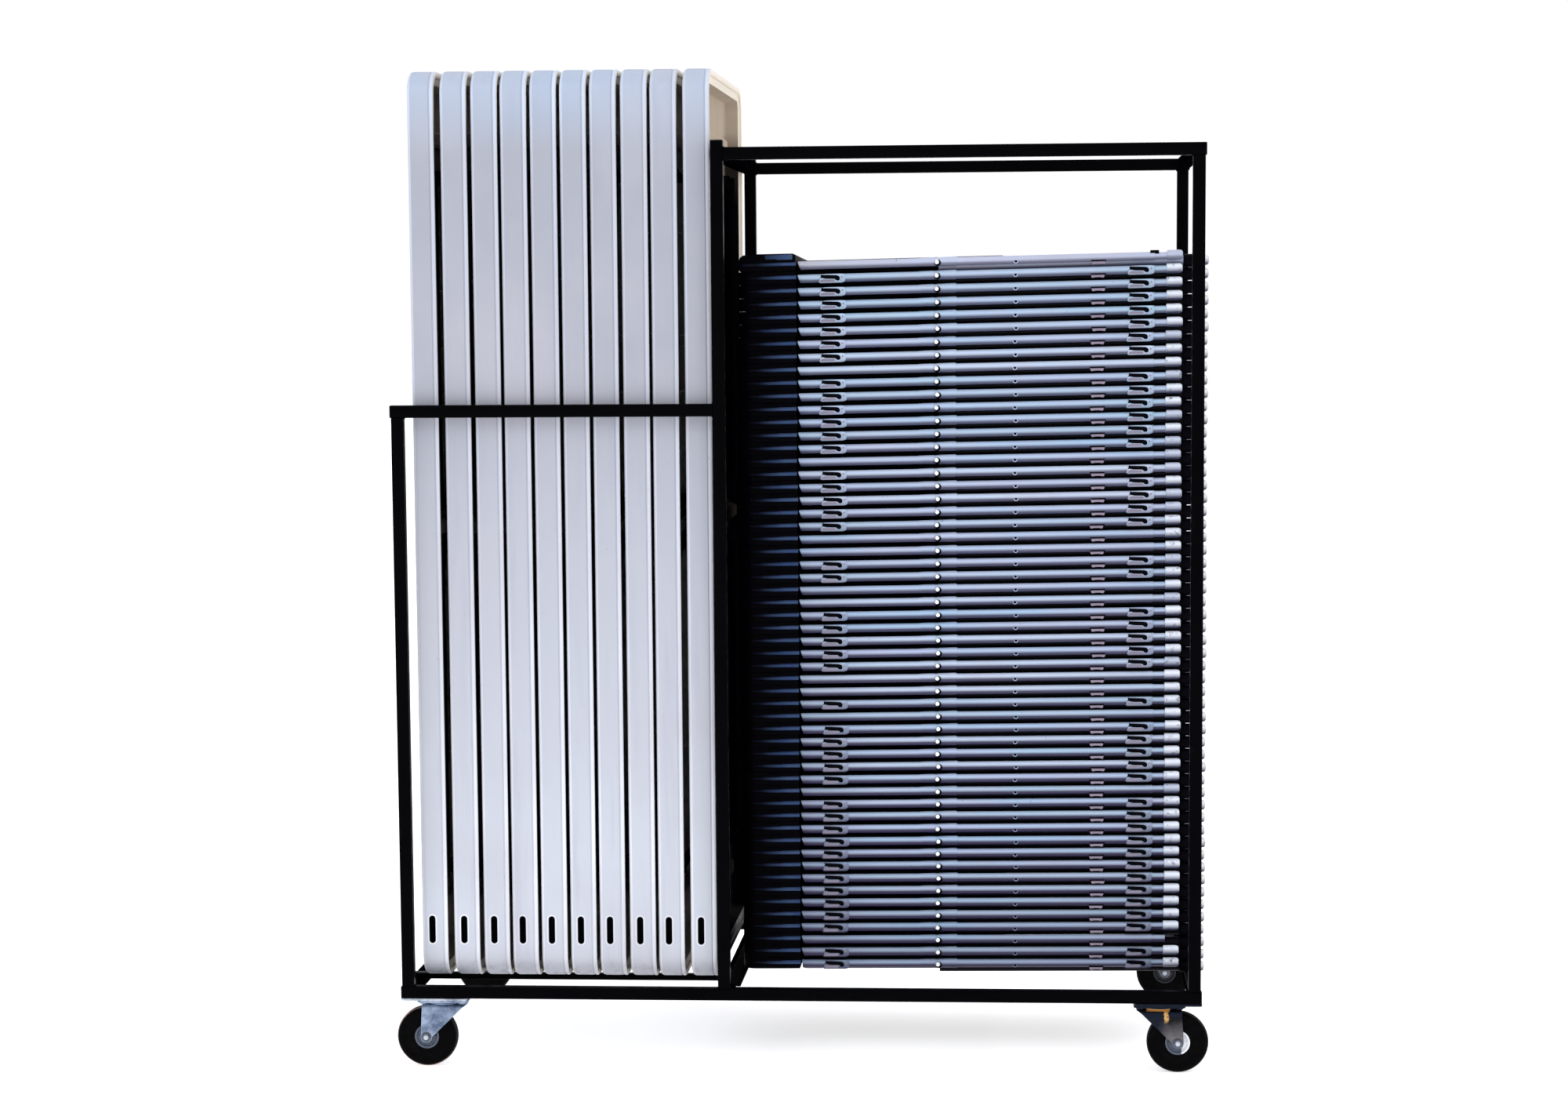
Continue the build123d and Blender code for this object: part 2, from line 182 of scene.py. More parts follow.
def sweep(path, radius, sides):
    """Round tube along points; the radius may differ from point to point."""
    path = [Vector(p) for p in path]
    radii = radius if isinstance(radius, list) else [radius] * len(path)
    tangent = (path[1] - path[0]).normalized()
    normal = tangent.orthogonal().normalized()
    rings = []
    for k, point in enumerate(path):
        onward = path[min(k + 1, len(path) - 1)] - path[max(k - 1, 0)]
        turned = onward.normalized()
        normal = (tangent.rotation_difference(turned) @ normal).normalized()
        tangent = turned
        side = tangent.cross(normal)
        rings.append([point + radii[k] * (p * normal + q * side) for p, q in circle(1, sides)])
    return loft(rings)


def bevel(bm, edges, width):
    bmesh.ops.bevel(bm, geom=edges, offset=width, segments=2, profile=0.5, affect="EDGES")


def taken(bm):
    """Vertices and faces of a bmesh, which is freed."""
    bm.verts.index_update()
    part = [tuple(v.co) for v in bm.verts], [tuple(v.index for v in f.verts) for f in bm.faces]
    bm.free()
    return part


def prism(outline, start, end, edge=0):
    """Flat plate from an outline in its own XY, between two heights, edges eased by a bevel."""
    bm = bmesh.new()
    low = [bm.verts.new((x, y, start)) for x, y in outline]
    high = [bm.verts.new((x, y, end)) for x, y in outline]
    n = len(outline)
    bottom = bm.faces.new(list(reversed(low)))
    top = bm.faces.new(high)
    for i in range(n):
        bm.faces.new((low[i], low[(i + 1) % n], high[(i + 1) % n], high[i]))
    if edge:
        bevel(bm, list(bottom.edges) + list(top.edges), edge)
    bmesh.ops.triangulate(bm, faces=[f for f in bm.faces if len(f.verts) > 4])
    return taken(bm)


def ease(part, width):
    """The same form with its sharp edges bevelled."""
    bm = bmesh.new()
    verts = [bm.verts.new(v) for v in part[0]]
    for f in part[1]:
        bm.faces.new([verts[i] for i in f])
    bmesh.ops.recalc_face_normals(bm, faces=bm.faces)
    joined = [e for e in bm.edges if len(e.link_faces) == 2]
    bevel(bm, [e for e in joined if e.calc_face_angle() > radians(EASE_ANGLE)], width)
    return taken(bm)


def move(x, y, z):
    return Matrix.Translation((x, y, z))


def turn(angle, axis):
    return Matrix.Rotation(angle, 4, axis)


# An X-long form stood along Y or Z
TO_Y = Matrix(((0, -1, 0, 0), (1, 0, 0, 0), (0, 0, 1, 0), (0, 0, 0, 1)))
TO_Z = Matrix(((0, 0, 1, 0), (0, 1, 0, 0), (1, 0, 0, 0), (0, 0, 0, 1)))


def srgb(r, g, b):
    """Linear colour of an 8-bit display colour."""
    def line(c):
        c /= 255
        return c / 12.92 if c <= 0.04045 else ((c + 0.055) / 1.055) ** 2.4
    return line(r), line(g), line(b), 1


class Finish:
    """Node material whose patterns are laid out in the piece's own metres.

    Colours are tuples, in 8-bit display values."""

    def __init__(self, name, metallic=0, specular=0.5):
        self.mat = bpy.data.materials.new(name)
        self.mat.use_nodes = True
        self.nodes = self.mat.node_tree.nodes
        self.shader = self.nodes["Principled BSDF"].inputs
        self.put(metallic, self.shader["Metallic"])
        self.put(specular, self.shader["Specular IOR Level"])
        self.where = self.node("TexCoord", {}, "Object")
        self.x, self.y, self.z = (self.part_of(self.where, k) for k in range(3))

    def put(self, value, socket):
        if isinstance(value, bpy.types.NodeSocket):
            self.mat.node_tree.links.new(value, socket)
        else:
            socket.default_value = srgb(*value) if isinstance(value, tuple) else value

    def node(self, kind, inputs, output, **settings):
        """One output of a new node, whose inputs are linked or set."""
        node = self.nodes.new(f"ShaderNode{kind}")
        for key, value in settings.items():
            setattr(node, key, value)
        for key, value in inputs.items():
            self.put(value, node.inputs[key])
        return node.outputs[output]

    def part_of(self, vector, which):
        return self.node("SeparateXYZ", {"Vector": vector}, which)

    def facing_up(self):
        """How far the surface turns upwards, from -1 to 1."""
        return self.part_of(self.node("NewGeometry", {}, "Normal"), 2)

    def stretch(self, *scale):
        return self.node("Mapping", {"Scale": list(scale), "Vector": self.where}, "Vector")

    def noise(self, scale, detail=3, rough=0.55, vector=None):
        return self.node("TexNoise", {
            "Scale": scale, "Detail": detail, "Roughness": rough, "Vector": vector or self.where,
        }, "Fac")

    def span(self, value, low, high, to_low=0, to_high=1):
        """Value between two limits, as a share or on another scale."""
        return self.node("MapRange", {
            "Value": value, "From Min": low, "From Max": high, "To Min": to_low, "To Max": to_high,
        }, "Result", clamp=True)

    def maths(self, operation, a, b):
        return self.node("Math", {0: a, 1: b}, 0, operation=operation)

    def both(self, a, b):
        return self.maths("MULTIPLY", a, b)

    def band(self, value, low, full, full_end, high):
        """Share that rises between the first two limits and falls between the last two."""
        return self.both(self.span(value, low, full), self.span(value, high, full_end))

    def mix(self, share, a, b):
        return self.node("Mix", {0: share, 6: a, 7: b}, 2, data_type="RGBA")

    def mottle(self, scale, detail, low, high):
        return self.mix(self.noise(scale, detail), low, high)

    def lay(self, colour, share, *others):
        """Lay a colour over the tone so far, by the product of its shares."""
        for other in others:
            share = self.both(share, other)
        self.tone = self.mix(share, self.tone, colour)

    def surface(self, wear, roughness, grain, relief):
        """The finished material: its tone, an uneven roughness and a fine grain.

        Wear and grain are scale and detail of noise, relief is strength and depth in mm."""
        self.put(self.tone, self.shader["Base Color"])
        self.put(self.span(self.noise(*wear), 0.3, 0.7, *roughness), self.shader["Roughness"])
        strength, depth = relief
        bumps = {"Strength": strength, "Distance": depth * MM, "Height": self.noise(*grain)}
        self.put(self.node("Bump", bumps, "Normal"), self.shader["Normal"])
        return self.mat


def make_paint(name, specular):
    """Black paint with scuffs."""
    f = Finish(name, specular=specular)
    f.tone = f.mottle(9, 4, (1, 1, 2), (4, 4, 6))
    scuff = f.span(f.noise(70, 6, 0.7, f.stretch(1, 1, 0.35)), 0.6, 0.74)
    f.lay((22, 23, 30), scuff, f.span(f.noise(5), 0.5, 0.72))
    return f.surface((35, 5), (0.26, 0.46), (420, 2), (0.1, 0.25))


def make_plastic(name, low, high, roughness, grain, specular=0.4):
    f = Finish(name, specular=specular)
    f.tone = f.mottle(14, 5, low, high)
    limits = (roughness - 0.07, roughness + 0.07)
    return f.surface((60, 4), limits, (grain, 2), (0.18, 0.25))


def make_steel(name, low, high):
    f = Finish(name, metallic=0.85)
    f.tone = f.mottle(60, 4, low, high)
    return f.surface((90, 4), (0.24, 0.46), (300, 3), (0.1, 0.2))


def make_zinc(name, low, high, dull):
    """Zinc plate with spangle and dull patches. The right-hand castors are painted dark as shade,
    with a painted sheen on the right of each fork that darkens towards its top, and the front one
    has a yellow streak and band along its crown."""
    f = Finish(name, metallic=0.8)
    spangle = f.node("TexVoronoi", {"Scale": 95, "Vector": f.where}, "Distance")
    f.tone = f.mix(f.span(spangle, 0, 0.6), low, high)
    f.lay(dull, f.span(f.noise(22, 5, 0.65), 0.46, 0.66))
    ragged = f.span(f.noise(60, 4, 0.6), 0.35, 0.65, -0.006, 0.006)
    along, height = f.maths("ADD", f.x, ragged), f.maths("ADD", f.z, ragged)
    at_right, at_front = f.span(f.x, 0.6, 0.62), f.span(f.y, -0.2, -0.3)
    # Painted shade: the zinc of the right-hand castors is laid dark
    f.lay((10, 18, 34), at_right)
    # Painted sheen on the right of the right forks, darker towards the top
    painted_sheen = f.mix(f.span(height, 0.112, 0.07), (12, 11, 14), (98, 95, 99))
    f.lay(painted_sheen, at_right, f.span(along, 0.728, 0.746), f.span(f.z, 0.122, 0.108))
    streak = f.both(f.band(along, 0.739, 0.742, 0.748, 0.751),
                    f.band(f.z, 0.102, 0.112, 0.1335, 0.1345))
    edge = f.both(f.band(along, 0.706, 0.712, 0.75, 0.754),
                  f.band(f.z, 0.127, 0.1285, 0.1335, 0.1345))
    f.lay((198, 156, 96), at_right, at_front, f.maths("MAXIMUM", streak, edge))
    return f.surface((48, 5), (0.32, 0.54), (260, 3), (0.12, 0.3))


def make_hub():
    """Grey moulded wheel centre: a painted highlight in white along the right edge of the right
    hubs, and painted shade on the rear hubs.
    """
    f = Finish("grey_hub_plastic", specular=0.3)
    f.tone = f.mottle(18, 5, (60, 68, 84), (92, 100, 116))
    ragged = f.span(f.noise(30), 0.3, 0.7, -0.004, 0.004)
    # Painted highlight along the right edge of the right hubs
    f.lay((226, 229, 234), f.span(f.maths("ADD", f.x, ragged), 0.776, 0.78))
    # Painted shade on the rear hubs
    f.lay(f.mottle(40, 4, (16, 17, 22), (40, 42, 48)), f.span(f.y, -0.1, 0.1))
    return f.surface((60, 4), (0.4, 0.54), (420, 2), (0.18, 0.25))


def make_rubber():
    f = Finish("black_rubber", specular=0.04)
    f.tone = f.mix(f.span(f.noise(55, 6, 0.7), 0.55, 0.8), (2, 2, 3), (9, 9, 12))
    return f.surface((80, 4), (0.55, 0.78), (500, 3), (0.25, 0.3))


def make_tread():
    """Tread of the tyres: dusty, with painted shade on the left-hand part of the left treads. dusty
    at the left, wiped elsewhere.
    """
    f = Finish("dusty_tread", specular=0.2)
    dust = f.span(f.noise(40, 6, 0.7), 0.3, 0.65)
    f.tone = f.mix(dust, (70, 62, 62), (158, 136, 126))
    # Painted shade on the left-hand part of the left treads
    f.lay(f.mix(dust, (4, 4, 6), (22, 21, 24)), f.span(f.x, -0.74, -0.72))
    return f.surface((60, 3), (0.78, 0.92), (320, 4), (0.4, 0.5))


def make_table(name, low, middle, high, soil_and_shade_share):
    """Off-white moulded plastic: pebbled and streaked along its length. Painted shade darkens it
    towards the top and painted light makes the very top bluer; near the floor it has dirt and
    painted shade.
    """
    f = Finish(name, specular=0.35)
    # Painted shade: darker from the floor upwards, and painted light at the very top
    f.tone = f.mix(f.span(f.z, 0.3, 1.45), low, middle)
    f.lay(high, f.span(f.z, 1.86, 2))
    f.lay((178, 178, 188), f.span(f.noise(2.6, 3), 0.42, 0.66), 0.5)
    streak = f.noise(30, 5, 0.65, f.stretch(1, 1, 0.07))
    f.lay((150, 152, 172), f.span(streak, 0.54, 0.78), 0.35)
    # Near the floor: dirt, with painted shade of the rounded bottom corners
    blotch = f.span(f.noise(24, 6, 0.7), 0.28, 0.7, 0.45, 1)
    f.lay((134, 124, 124), f.span(f.z, 0.252, 0.192), blotch, soil_and_shade_share)
    grime_and_shade = f.span(f.noise(60, 5, 0.65), 0.5, 0.64)
    f.lay((64, 48, 52), grime_and_shade, f.span(f.z, 0.225, 0.19), soil_and_shade_share)
    f.lay((112, 108, 118), f.span(f.noise(130, 3, 0.6), 0.7, 0.78), 0.35)
    return f.surface((40, 4), (0.36, 0.5), (650, 2), (0.16, 0.25))


def make_underside(name, specular, shaded_colours, dark_share, look):
    """Warm plastic of a table's underside with painted shade: darker below, in its lit colours at
    the upper end, and dark along the long sides."""
    f = Finish(name, specular=specular)
    f.tone = f.mottle(7, 4, *shaded_colours)
    # Painted shade: darker below, the lit colours towards the upper end
    f.lay(f.mottle(look["patch"], 4, *look["lit_colours"]), f.span(f.z, *look["lit_above"]))
    # Painted shade along the long sides, where the tables stand close together
    outer = f.span(f.maths("ABSOLUTE", f.y, 0), *look["dark_beyond"])
    f.lay(look["dark"], outer, f.span(f.z, *look["dark_below"]), dark_share)
    return f.surface((45, 4), look["roughness"], (520, 2), (0.2, 0.3))


def make_chair_paint(name, first, second, under=(34, 24, 60)):
    """Pale powder coat, with painted shade on its undersides, at the bottom of the stack and, low
    in the stack, towards the back rests.
    """
    f = Finish(name, specular=0.4)
    drift = f.noise(3.2, 2, 0.5, f.stretch(1, 0.4, 5))
    f.tone = f.mix(f.span(drift, 0.36, 0.62), first, second)
    age = f.noise(16, 5, 0.65, f.stretch(0.5, 1, 1))
    f.lay((176, 170, 190), f.span(age, 0.5, 0.74), 0.35)
    # Painted shade towards the back rests low in the stack, and at the bottom of the stack
    f.lay((104, 112, 138), f.span(f.x, 0.16, -0.01), f.span(f.z, 1.4, 0.55), 0.55)
    f.lay((74, 82, 108), f.span(f.z, 0.48, 0.2), 0.34)
    f.lay((56, 54, 66), f.span(f.noise(150, 4, 0.6), 0.7, 0.75))
    # Painted shade on surfaces that face down, stronger low in the stack
    shaded = f.span(f.z, 1.5, 0.35, 0.02, -0.25)
    below = f.span(f.maths("ADD", f.facing_up(), shaded), 0.16, -0.45)
    f.lay(under, below, f.span(f.z, 1.5, 0.45, 0.86, 1))
    return f.surface((70, 4), (0.28, 0.44), (700, 2), (0.1, 0.2))


def make_leg_paint():
    """Inner legs of the stacked chairs: painted shade underneath and, between the seats, painted
    near-black shade; pale at their feet.
    """
    f = Finish("chair_leg_coat", specular=0.06)
    f.tone = f.mottle(18, 4, (176, 186, 210), (206, 212, 232))
    # Painted shade on surfaces that face down
    f.lay((40, 50, 96), f.span(f.facing_up(), 0.1, -0.5))
    # Painted shade: near-black inside the stack, short of the feet
    f.lay(f.mottle(24, 4, (3, 3, 7), (9, 9, 16)), f.span(f.x, 0.8, 0.79))
    return f.surface((70, 4), (0.34, 0.5), (700, 2), (0.1, 0.2))


def make_ridge():
    """Edge of a back rest: lighter than the back's plastic as a painted highlight, fading to
    painted shade towards its far end.
    """
    f = Finish("chair_back_edge", specular=0.1)
    f.tone = f.mix(f.span(f.noise(20, 4), 0.35, 0.65), (44, 66, 106), (62, 80, 114))
    # Painted shade towards the far end of the edge
    f.lay((6, 9, 26), f.span(f.x, -0.03, -0.085))
    return f.surface((50, 4), (0.4, 0.56), (600, 2), (0.22, 0.3))


def make_foot(name, low, high):
    """Pale foot cap, scuffed, with painted shade darkening it underneath."""
    f = Finish(name, specular=0.3)
    f.tone = f.mottle(22, 5, low, high)
    f.lay((122, 122, 138), f.span(f.noise(90, 4, 0.6), 0.58, 0.72))
    # Painted shade on surfaces that face down
    f.lay((44, 46, 72), f.span(f.facing_up(), 0.42, -0.66))
    return f.surface((60, 4), (0.36, 0.5), (420, 2), (0.18, 0.25))


paint = make_paint("black_gloss_paint", 0.015)
dull_paint = make_paint("black_dull_paint", 0)
cap_plastic = make_plastic("black_cap_plastic", (2, 2, 4), (8, 8, 11), 0.5, 600, 0.06)
plate_zinc = make_zinc("bright_plate_zinc", (138, 148, 162), (186, 193, 204), (96, 108, 126))
zinc = make_zinc("grey_fork_zinc", (112, 128, 152), (146, 161, 184), (84, 98, 122))
hub_plastic = make_hub()
rubber = make_rubber()
tread = make_tread()
table_plastic = make_table(
    "table_plastic", (194, 199, 210), (156, 159, 170), (160, 176, 198), 0.32)
# Rims and slot lips: a lighter copy of the table plastic, a painted highlight on the rounded edges
table_rim_highlight = make_table(
    "table_rim_highlight_plastic", (226, 229, 236), (184, 189, 202), (196, 208, 226), 0.3)
rim_look = {
    "patch": 3, "lit_colours": ((232, 220, 200), (244, 234, 218)), "lit_above": (0.9, 1.65),
    "dark_beyond": (0.35, 0.358), "dark_below": (1.96, 1.9), "dark": (20, 18, 19),
    "roughness": (0.45, 0.6),
}
hollow_look = {
    "patch": 5, "lit_colours": ((176, 160, 142), (206, 192, 174)), "lit_above": (1.77, 1.87),
    "dark_beyond": (0.295, 0.335), "dark_below": (1.93, 1.86), "dark": (10, 9, 10),
    "roughness": (0.5, 0.66),
}
table_cream = make_underside(
    "table_underside_plastic", 0.12, ((206, 196, 180), (224, 214, 198)), 0.96, rim_look)
table_recess = make_underside(
    "table_recess_plastic", 0.12, ((150, 140, 128), (178, 168, 154)), 0.92, hollow_look)
# The last table's underside: darker copies of the same plastic, painted shade beside the chairs
shaded_cream = make_underside(
    "shaded_underside_plastic", 0.12, ((40, 35, 34), (72, 64, 61)), 0, rim_look)
shaded_recess = make_underside(
    "shaded_recess_plastic", 0, ((24, 21, 21), (42, 38, 37)), 0.92, hollow_look)
# Walls of the lock slots: near-black, painted shade in the slots
table_dark = make_plastic("table_slot_dark", (1, 1, 4), (5, 5, 10), 0.6, 300, 0.03)
leg_paint = make_plastic("black_leg_coat", (2, 2, 4), (8, 8, 11), 0.38, 500, 0)
chair_tones = [
    make_chair_paint(f"chair_coat_{tone}", *colours) for tone, *colours in (
        ("aqua", (159, 183, 206), (171, 188, 213)),
        ("pale", (176, 195, 219), (184, 197, 219)),
        ("lilac", (170, 183, 214), (160, 188, 212)),
        ("blue", (156, 184, 214), (174, 186, 212)),
        ("worn", (178, 186, 210), (172, 174, 188), (70, 68, 90)),
    )
]
TONES = len(chair_tones)
WORN = TONES - 1
chair_leg_coat = make_leg_paint()
chair_plastic = make_plastic("chair_plastic", (1, 1, 3), (4, 4, 9), 0.48, 600, 0.02)
chair_edge = make_ridge()
# Near-black for painted shade: the shadows under the rivets and stop tabs, the slots' backings, the
# dimple pits and the leg sleeves; also the top chair's bumps
chair_dark = make_plastic("chair_inner_dark", (1, 1, 4), (4, 4, 10), 0.6, 300, 0.03)
tongue_grey = make_plastic("chair_clip_tongue", (104, 98, 116), (142, 134, 150), 0.5, 240)
tab_tan = make_plastic("chair_stop_tan", (118, 106, 126), (150, 138, 156), 0.5, 400)
bright_steel = make_steel("bright_rivet", (232, 236, 242), (252, 253, 255))
pin_steel = make_steel("axle_pin_steel", (150, 156, 168), (206, 210, 218))
axle_steel = make_steel("axle_steel", (66, 72, 84), (112, 118, 130))
foot_white = make_foot("white_foot_plastic", (212, 221, 237), (236, 241, 250))
leg_foot = make_foot("leg_foot_plastic", (206, 203, 206), (232, 229, 231))
foot_grey = make_foot("grey_foot_plastic", (178, 187, 208), (200, 208, 226))

# Frame tubes
TUBE = 25
TUBE_ROUND = 3.2
END_EASE = 0.5


def axes_of(low, high):
    """Axis along the longest side of a box, and the two others."""
    size = [b - a for a, b in zip(low, high)]
    along = size.index(max(size))
    return along, *[k for k in range(3) if k != along]


def bar_form(low, high, radius):
    """Round-cornered bar filling a box along its longest side, its ends eased."""
    along, u, v = axes_of(low, high)
    start, end = low[along], high[along]
    steps = ((start, END_EASE), (start + END_EASE, 0), (end - END_EASE, 0), (end, END_EASE))
    verts, faces = slab(steps, high[u] - low[u], high[v] - low[v], radius, radius, 4)
    placed = []
    for at, p, q in verts:
        point = middle(low, high)
        point[along] = at
        point[u] += p
        point[v] += q
        placed.append(point)
    return placed, faces


def add_bar(node, kind, radius, finish, slot):
    shape = Shape().add(bar_form(*box_mm(node), radius))
    piece(f"{node}_{kind}", shape, [finish], "frame", slot, node)


frame_tubes = [
    "base_front_rail", "base_rear_rail", "base_left_crossbar", "base_mid_crossbar",
    "base_right_crossbar", "post_front_left", "post_rear_left", "post_front_mid",
    "post_rear_mid", "post_front_right", "post_rear_right", "table_rail_front",
    "table_rail_rear", "top_rail_front", "top_rail_rear", "top_crossbar_left",
    "top_crossbar_right",
]
for node in frame_tubes:
    coat = dull_paint if "crossbar" in node else paint
    add_bar(node, "tube", TUBE_ROUND, coat, "frame_paint")

# Weld beads
BEAD = 2.3
BEAD_STEP = 1.7
BEAD_SINK = 0.4
WELD_PROBE = (3, 4)


def bead(start, end):
    """Weld bead: a rippled run of filler between two points."""
    count = max(4, round((end - start).length / BEAD_STEP))
    path, radii = [], []
    for k in range(count + 1):
        path.append(start.lerp(end, k / count))
        ripple = 0.16 * (1 if k % 2 else -1) + chance.uniform(-0.06, 0.06)
        radii.append(BEAD * (0.55 if k in (0, count) else 1 + ripple))
    return sweep(path, radii, 6)


def within(point, box):
    return all(a - 0.1 < c < b + 0.1 for c, a, b in zip(point, *box))


# They lie in the inside corners, where a tube ends on the side of another that goes on
tube_boxes = {node: box_mm(node) for node in frame_tubes}
welds = Shape()
for node, (low, high) in tube_boxes.items():
    along, u, v = axes_of(low, high)
    others = [box for name, box in tube_boxes.items() if name != node]
    for way, (across, run), side in product(BOTH_SIDES, ((u, v), (v, u)), BOTH_SIDES):
        corner = Vector(middle(low, high))
        corner[along] = low[along] if way < 0 else high[along]
        beyond = corner.copy()
        beyond[along] += way * WELD_PROBE[0]
        beyond[across] += side * (TUBE / 2 + WELD_PROBE[1])
        if any(within(beyond, box) for box in others):
            corner[across] += side * (TUBE / 2 - BEAD_SINK)
            start, end = corner.copy(), corner.copy()
            start[run] -= TUBE / 2 - TUBE_ROUND
            end[run] += TUBE / 2 - TUBE_ROUND
            welds.add(bead(start, end))
piece("frame_weld_beads", welds, [paint], "frame", "frame_paint")

# Plastic caps in the open tube ends: a flange with a crowned face, as (out, inset) steps
CAP_STEPS = ((0, 0), (1.2, 0), (2, 0.5), (2.4, 1.8), (2.5, 4))
CAP_ROUND = 0.9
cap_form = slab(CAP_STEPS, TUBE, TUBE, TUBE_ROUND, CAP_ROUND, 4)
to_left, to_right = turn(pi, "Z"), Matrix()
caps = Shape()
for side in ("front", "rear"):
    for node, axis, end, facing in (
        (f"base_{side}_rail", 0, 1, to_right), (f"base_{side}_rail", 0, 0, to_left),
        (f"table_rail_{side}", 0, 0, to_left), (f"top_rail_{side}", 0, 1, to_right),
        (f"post_{side}_mid", 2, 1, TO_Z),
    ):
        place = middle(*tube_boxes[node])
        place[axis] = tube_boxes[node][end][axis]
        caps.add(cap_form, move(*place) @ facing)
piece("tube_end_caps_moulded", caps, [cap_plastic], "frame", "cap_plastic", "tube_end_caps")

# Bearers: runners under the tables and rubber rests under the chairs
for side in ("front", "rear"):
    add_bar(f"table_support_{side}", "runner", 2, paint, "frame_paint")
for side in ("left", "right"):
    add_bar(f"chair_rest_{side}", "strip", 1.6, rubber, "rest_rubber")

# Castors
AXLE_Z = 62.5
TRAIL = 37
FORK_TOP = 132
FORK_HALF = 23
FORK_TIP = 12
FORK_BEND = 9
CROWN = (-46, 45)
SHEET = 4
SWIVEL = (731.5, 369.5)
MOUNT = (748.5, 360)
PLATE_LOW, PLATE_HIGH, MOUNT_HIGH = 138, 142, 147
WASHER = 1.2
STUDS = [(x, y) for x in (-40, 40) for y in (-30, 30)]
PIN_TOP = 127.7
corners = {
    "front_left": (-1, -1), "front_right": (1, -1),
    "rear_left": (-1, 1), "rear_right": (1, 1),
}


def fork_edges(z):
    """Where the fork's leading and trailing edges are at a height."""
    if z < AXLE_Z:
        half = sqrt(max(FORK_TIP ** 2 - (AXLE_Z - z) ** 2, 0))
        return TRAIL - half, TRAIL + half
    share = (z - AXLE_Z) / (FORK_TOP - AXLE_Z)
    lead, trail = TRAIL - FORK_TIP, TRAIL + FORK_TIP
    return lead + share * (CROWN[0] - lead), trail + share * (CROWN[1] - trail)


def fork_form():
    """Pressed sheet bent over into two legs: an outer and an inner skin and the edge between."""
    bend_y, bend_z = FORK_HALF - FORK_BEND, FORK_TOP - FORK_BEND
    heights = [AXLE_Z - FORK_TIP * cos(radians(3 + 14.5 * k)) for k in range(7)]
    heights += [AXLE_Z + (bend_z - AXLE_Z) * k / 5 for k in range(1, 6)]
    line = [(FORK_HALF, z, 1, 0) for z in heights]
    for k in range(1, 6):
        a, b = cos(radians(18 * k)), sin(radians(18 * k))
        line.append((bend_y + FORK_BEND * a, bend_z + FORK_BEND * b, a, b))
    full = line + [(-y, z, -a, b) for y, z, a, b in reversed(line)]
    rings = []
    for y, z, a, b in full:
        lead, trail = fork_edges(z)
        places = [lead + (trail - lead) * k / 6 for k in range(7)]
        outer = [(x, y, z) for x in places]
        inner = [(x, y - SHEET * a, z - SHEET * b) for x in reversed(places)]
        rings.append(outer + inner)
    return loft(rings)


fork_skin = ease(fork_form(), 0.7)
race = lathe([(0, 12), (0, 31), (0.8, 33), (2.2, 33), (2.8, 31.6), (3.4, 31.6), (4, 32.6),
              (5, 32.6), (5.6, 30.5), (5.6, 12)], 40)
top_plate = prism(rounded(104.6, 84.6, 9, 5), PLATE_LOW, PLATE_HIGH, 0.7)
mount_plate = prism(rounded(136, 105, 5, 4), PLATE_HIGH, MOUNT_HIGH, 0.8)
nut = hexagon(12.6, 0, -3.4)
washer = lathe([(0, 7.6), (0.3, 8), (WASHER - 0.3, 8), (WASHER, 7.6)], 18)
axle_washer = lathe([(0, 10.2), (0.3, 10.7), (1.2, 10.7), (1.5, 10.2)], 24)
axle_head = ease(hexagon(16.6, 1.5, 5.6), 0.4)
axle_end = lathe([(5.5, 4.9), (5.8, 4.6), (6, 3.6)], 16)
axle_shank = lathe([(-FORK_HALF, 5), (FORK_HALF, 5)], 16)
kingpin = lathe([(-4, 4.2), (-3.6, 6.2), (-2.4, 7.8), (-1, 8.4), (0, 8.4)], 24)

plates, mounts, studs, pins = Shape(), Shape(), Shape(), Shape()
for sx, sy in corners.values():
    x, y = sx * SWIVEL[0], sy * SWIVEL[1]
    mounts.add(mount_plate, move(sx * MOUNT[0], sy * MOUNT[1], 0))
    plates.add(top_plate, move(x, y, 0))
    for px, py in STUDS:
        spin = turn(chance.uniform(0, pi), "X")
        studs.add(washer, move(x + px, y + py, PLATE_LOW - WASHER) @ TO_Z)
        studs.add(nut, move(x + px, y + py, PLATE_LOW) @ TO_Z @ spin)
    pins.add(kingpin, move(x, y, PIN_TOP) @ TO_Z)
for name, shape, finish, slot, node in (
    ("castor_mount_plates_zinc", mounts, plate_zinc, "plate_zinc", "castor_mount_plates"),
    ("castor_top_plates_zinc", plates, zinc, "castor_zinc", "castor_top_plates"),
    ("castor_stud_nuts", studs, zinc, "castor_zinc", "castor_studs"),
    ("castor_kingpin_heads", pins, zinc, "castor_zinc", "castor_kingpins"),
):
    piece(name, shape, [finish], "frame", slot, node)

# Wheels: a spoked hub and a rubber tyre with dusty tread, from (along, radius) half sections
WHEEL_SIDES = 64
SPOKES = 6
SPOKE_PLACE = (15.8, 12.6)
hub_half = [(18, 5.2), (18, 10), (17.4, 11), (14, 12), (13, 14), (13.2, 19.5), (16.2, 20.6),
            (17, 21.4), (17, 24), (16.3, 25)]
tyre_wall = [(16, 25.2), (16, 38), (15.2, 40), (15.2, 50), (15.6, 54), (14.4, 57.4), (12.4, 60),
             (9.6, 61.8)]
tyre_crown = [(8, 62.2), (4, 62.45), (-4, 62.45), (-8, 62.2)]


def mirrored(half):
    return [(-u, v) for u, v in reversed(half)]


hub_ring = lathe(hub_half + mirrored(hub_half), 48, hole=True)
hub_rib = prism(rounded(9, 2.2, 0.8, 2), 0, 3.2, 0.3)
tyre_ring = lathe(tyre_wall + tyre_crown + mirrored(tyre_wall), WHEEL_SIDES, hole=True)
tread_bands = range(len(tyre_wall) - 2, len(tyre_wall) + len(tyre_crown) + 1)
tyre_paint = [int(k // WHEEL_SIDES in tread_bands) for k in range(len(tyre_ring[1]))]

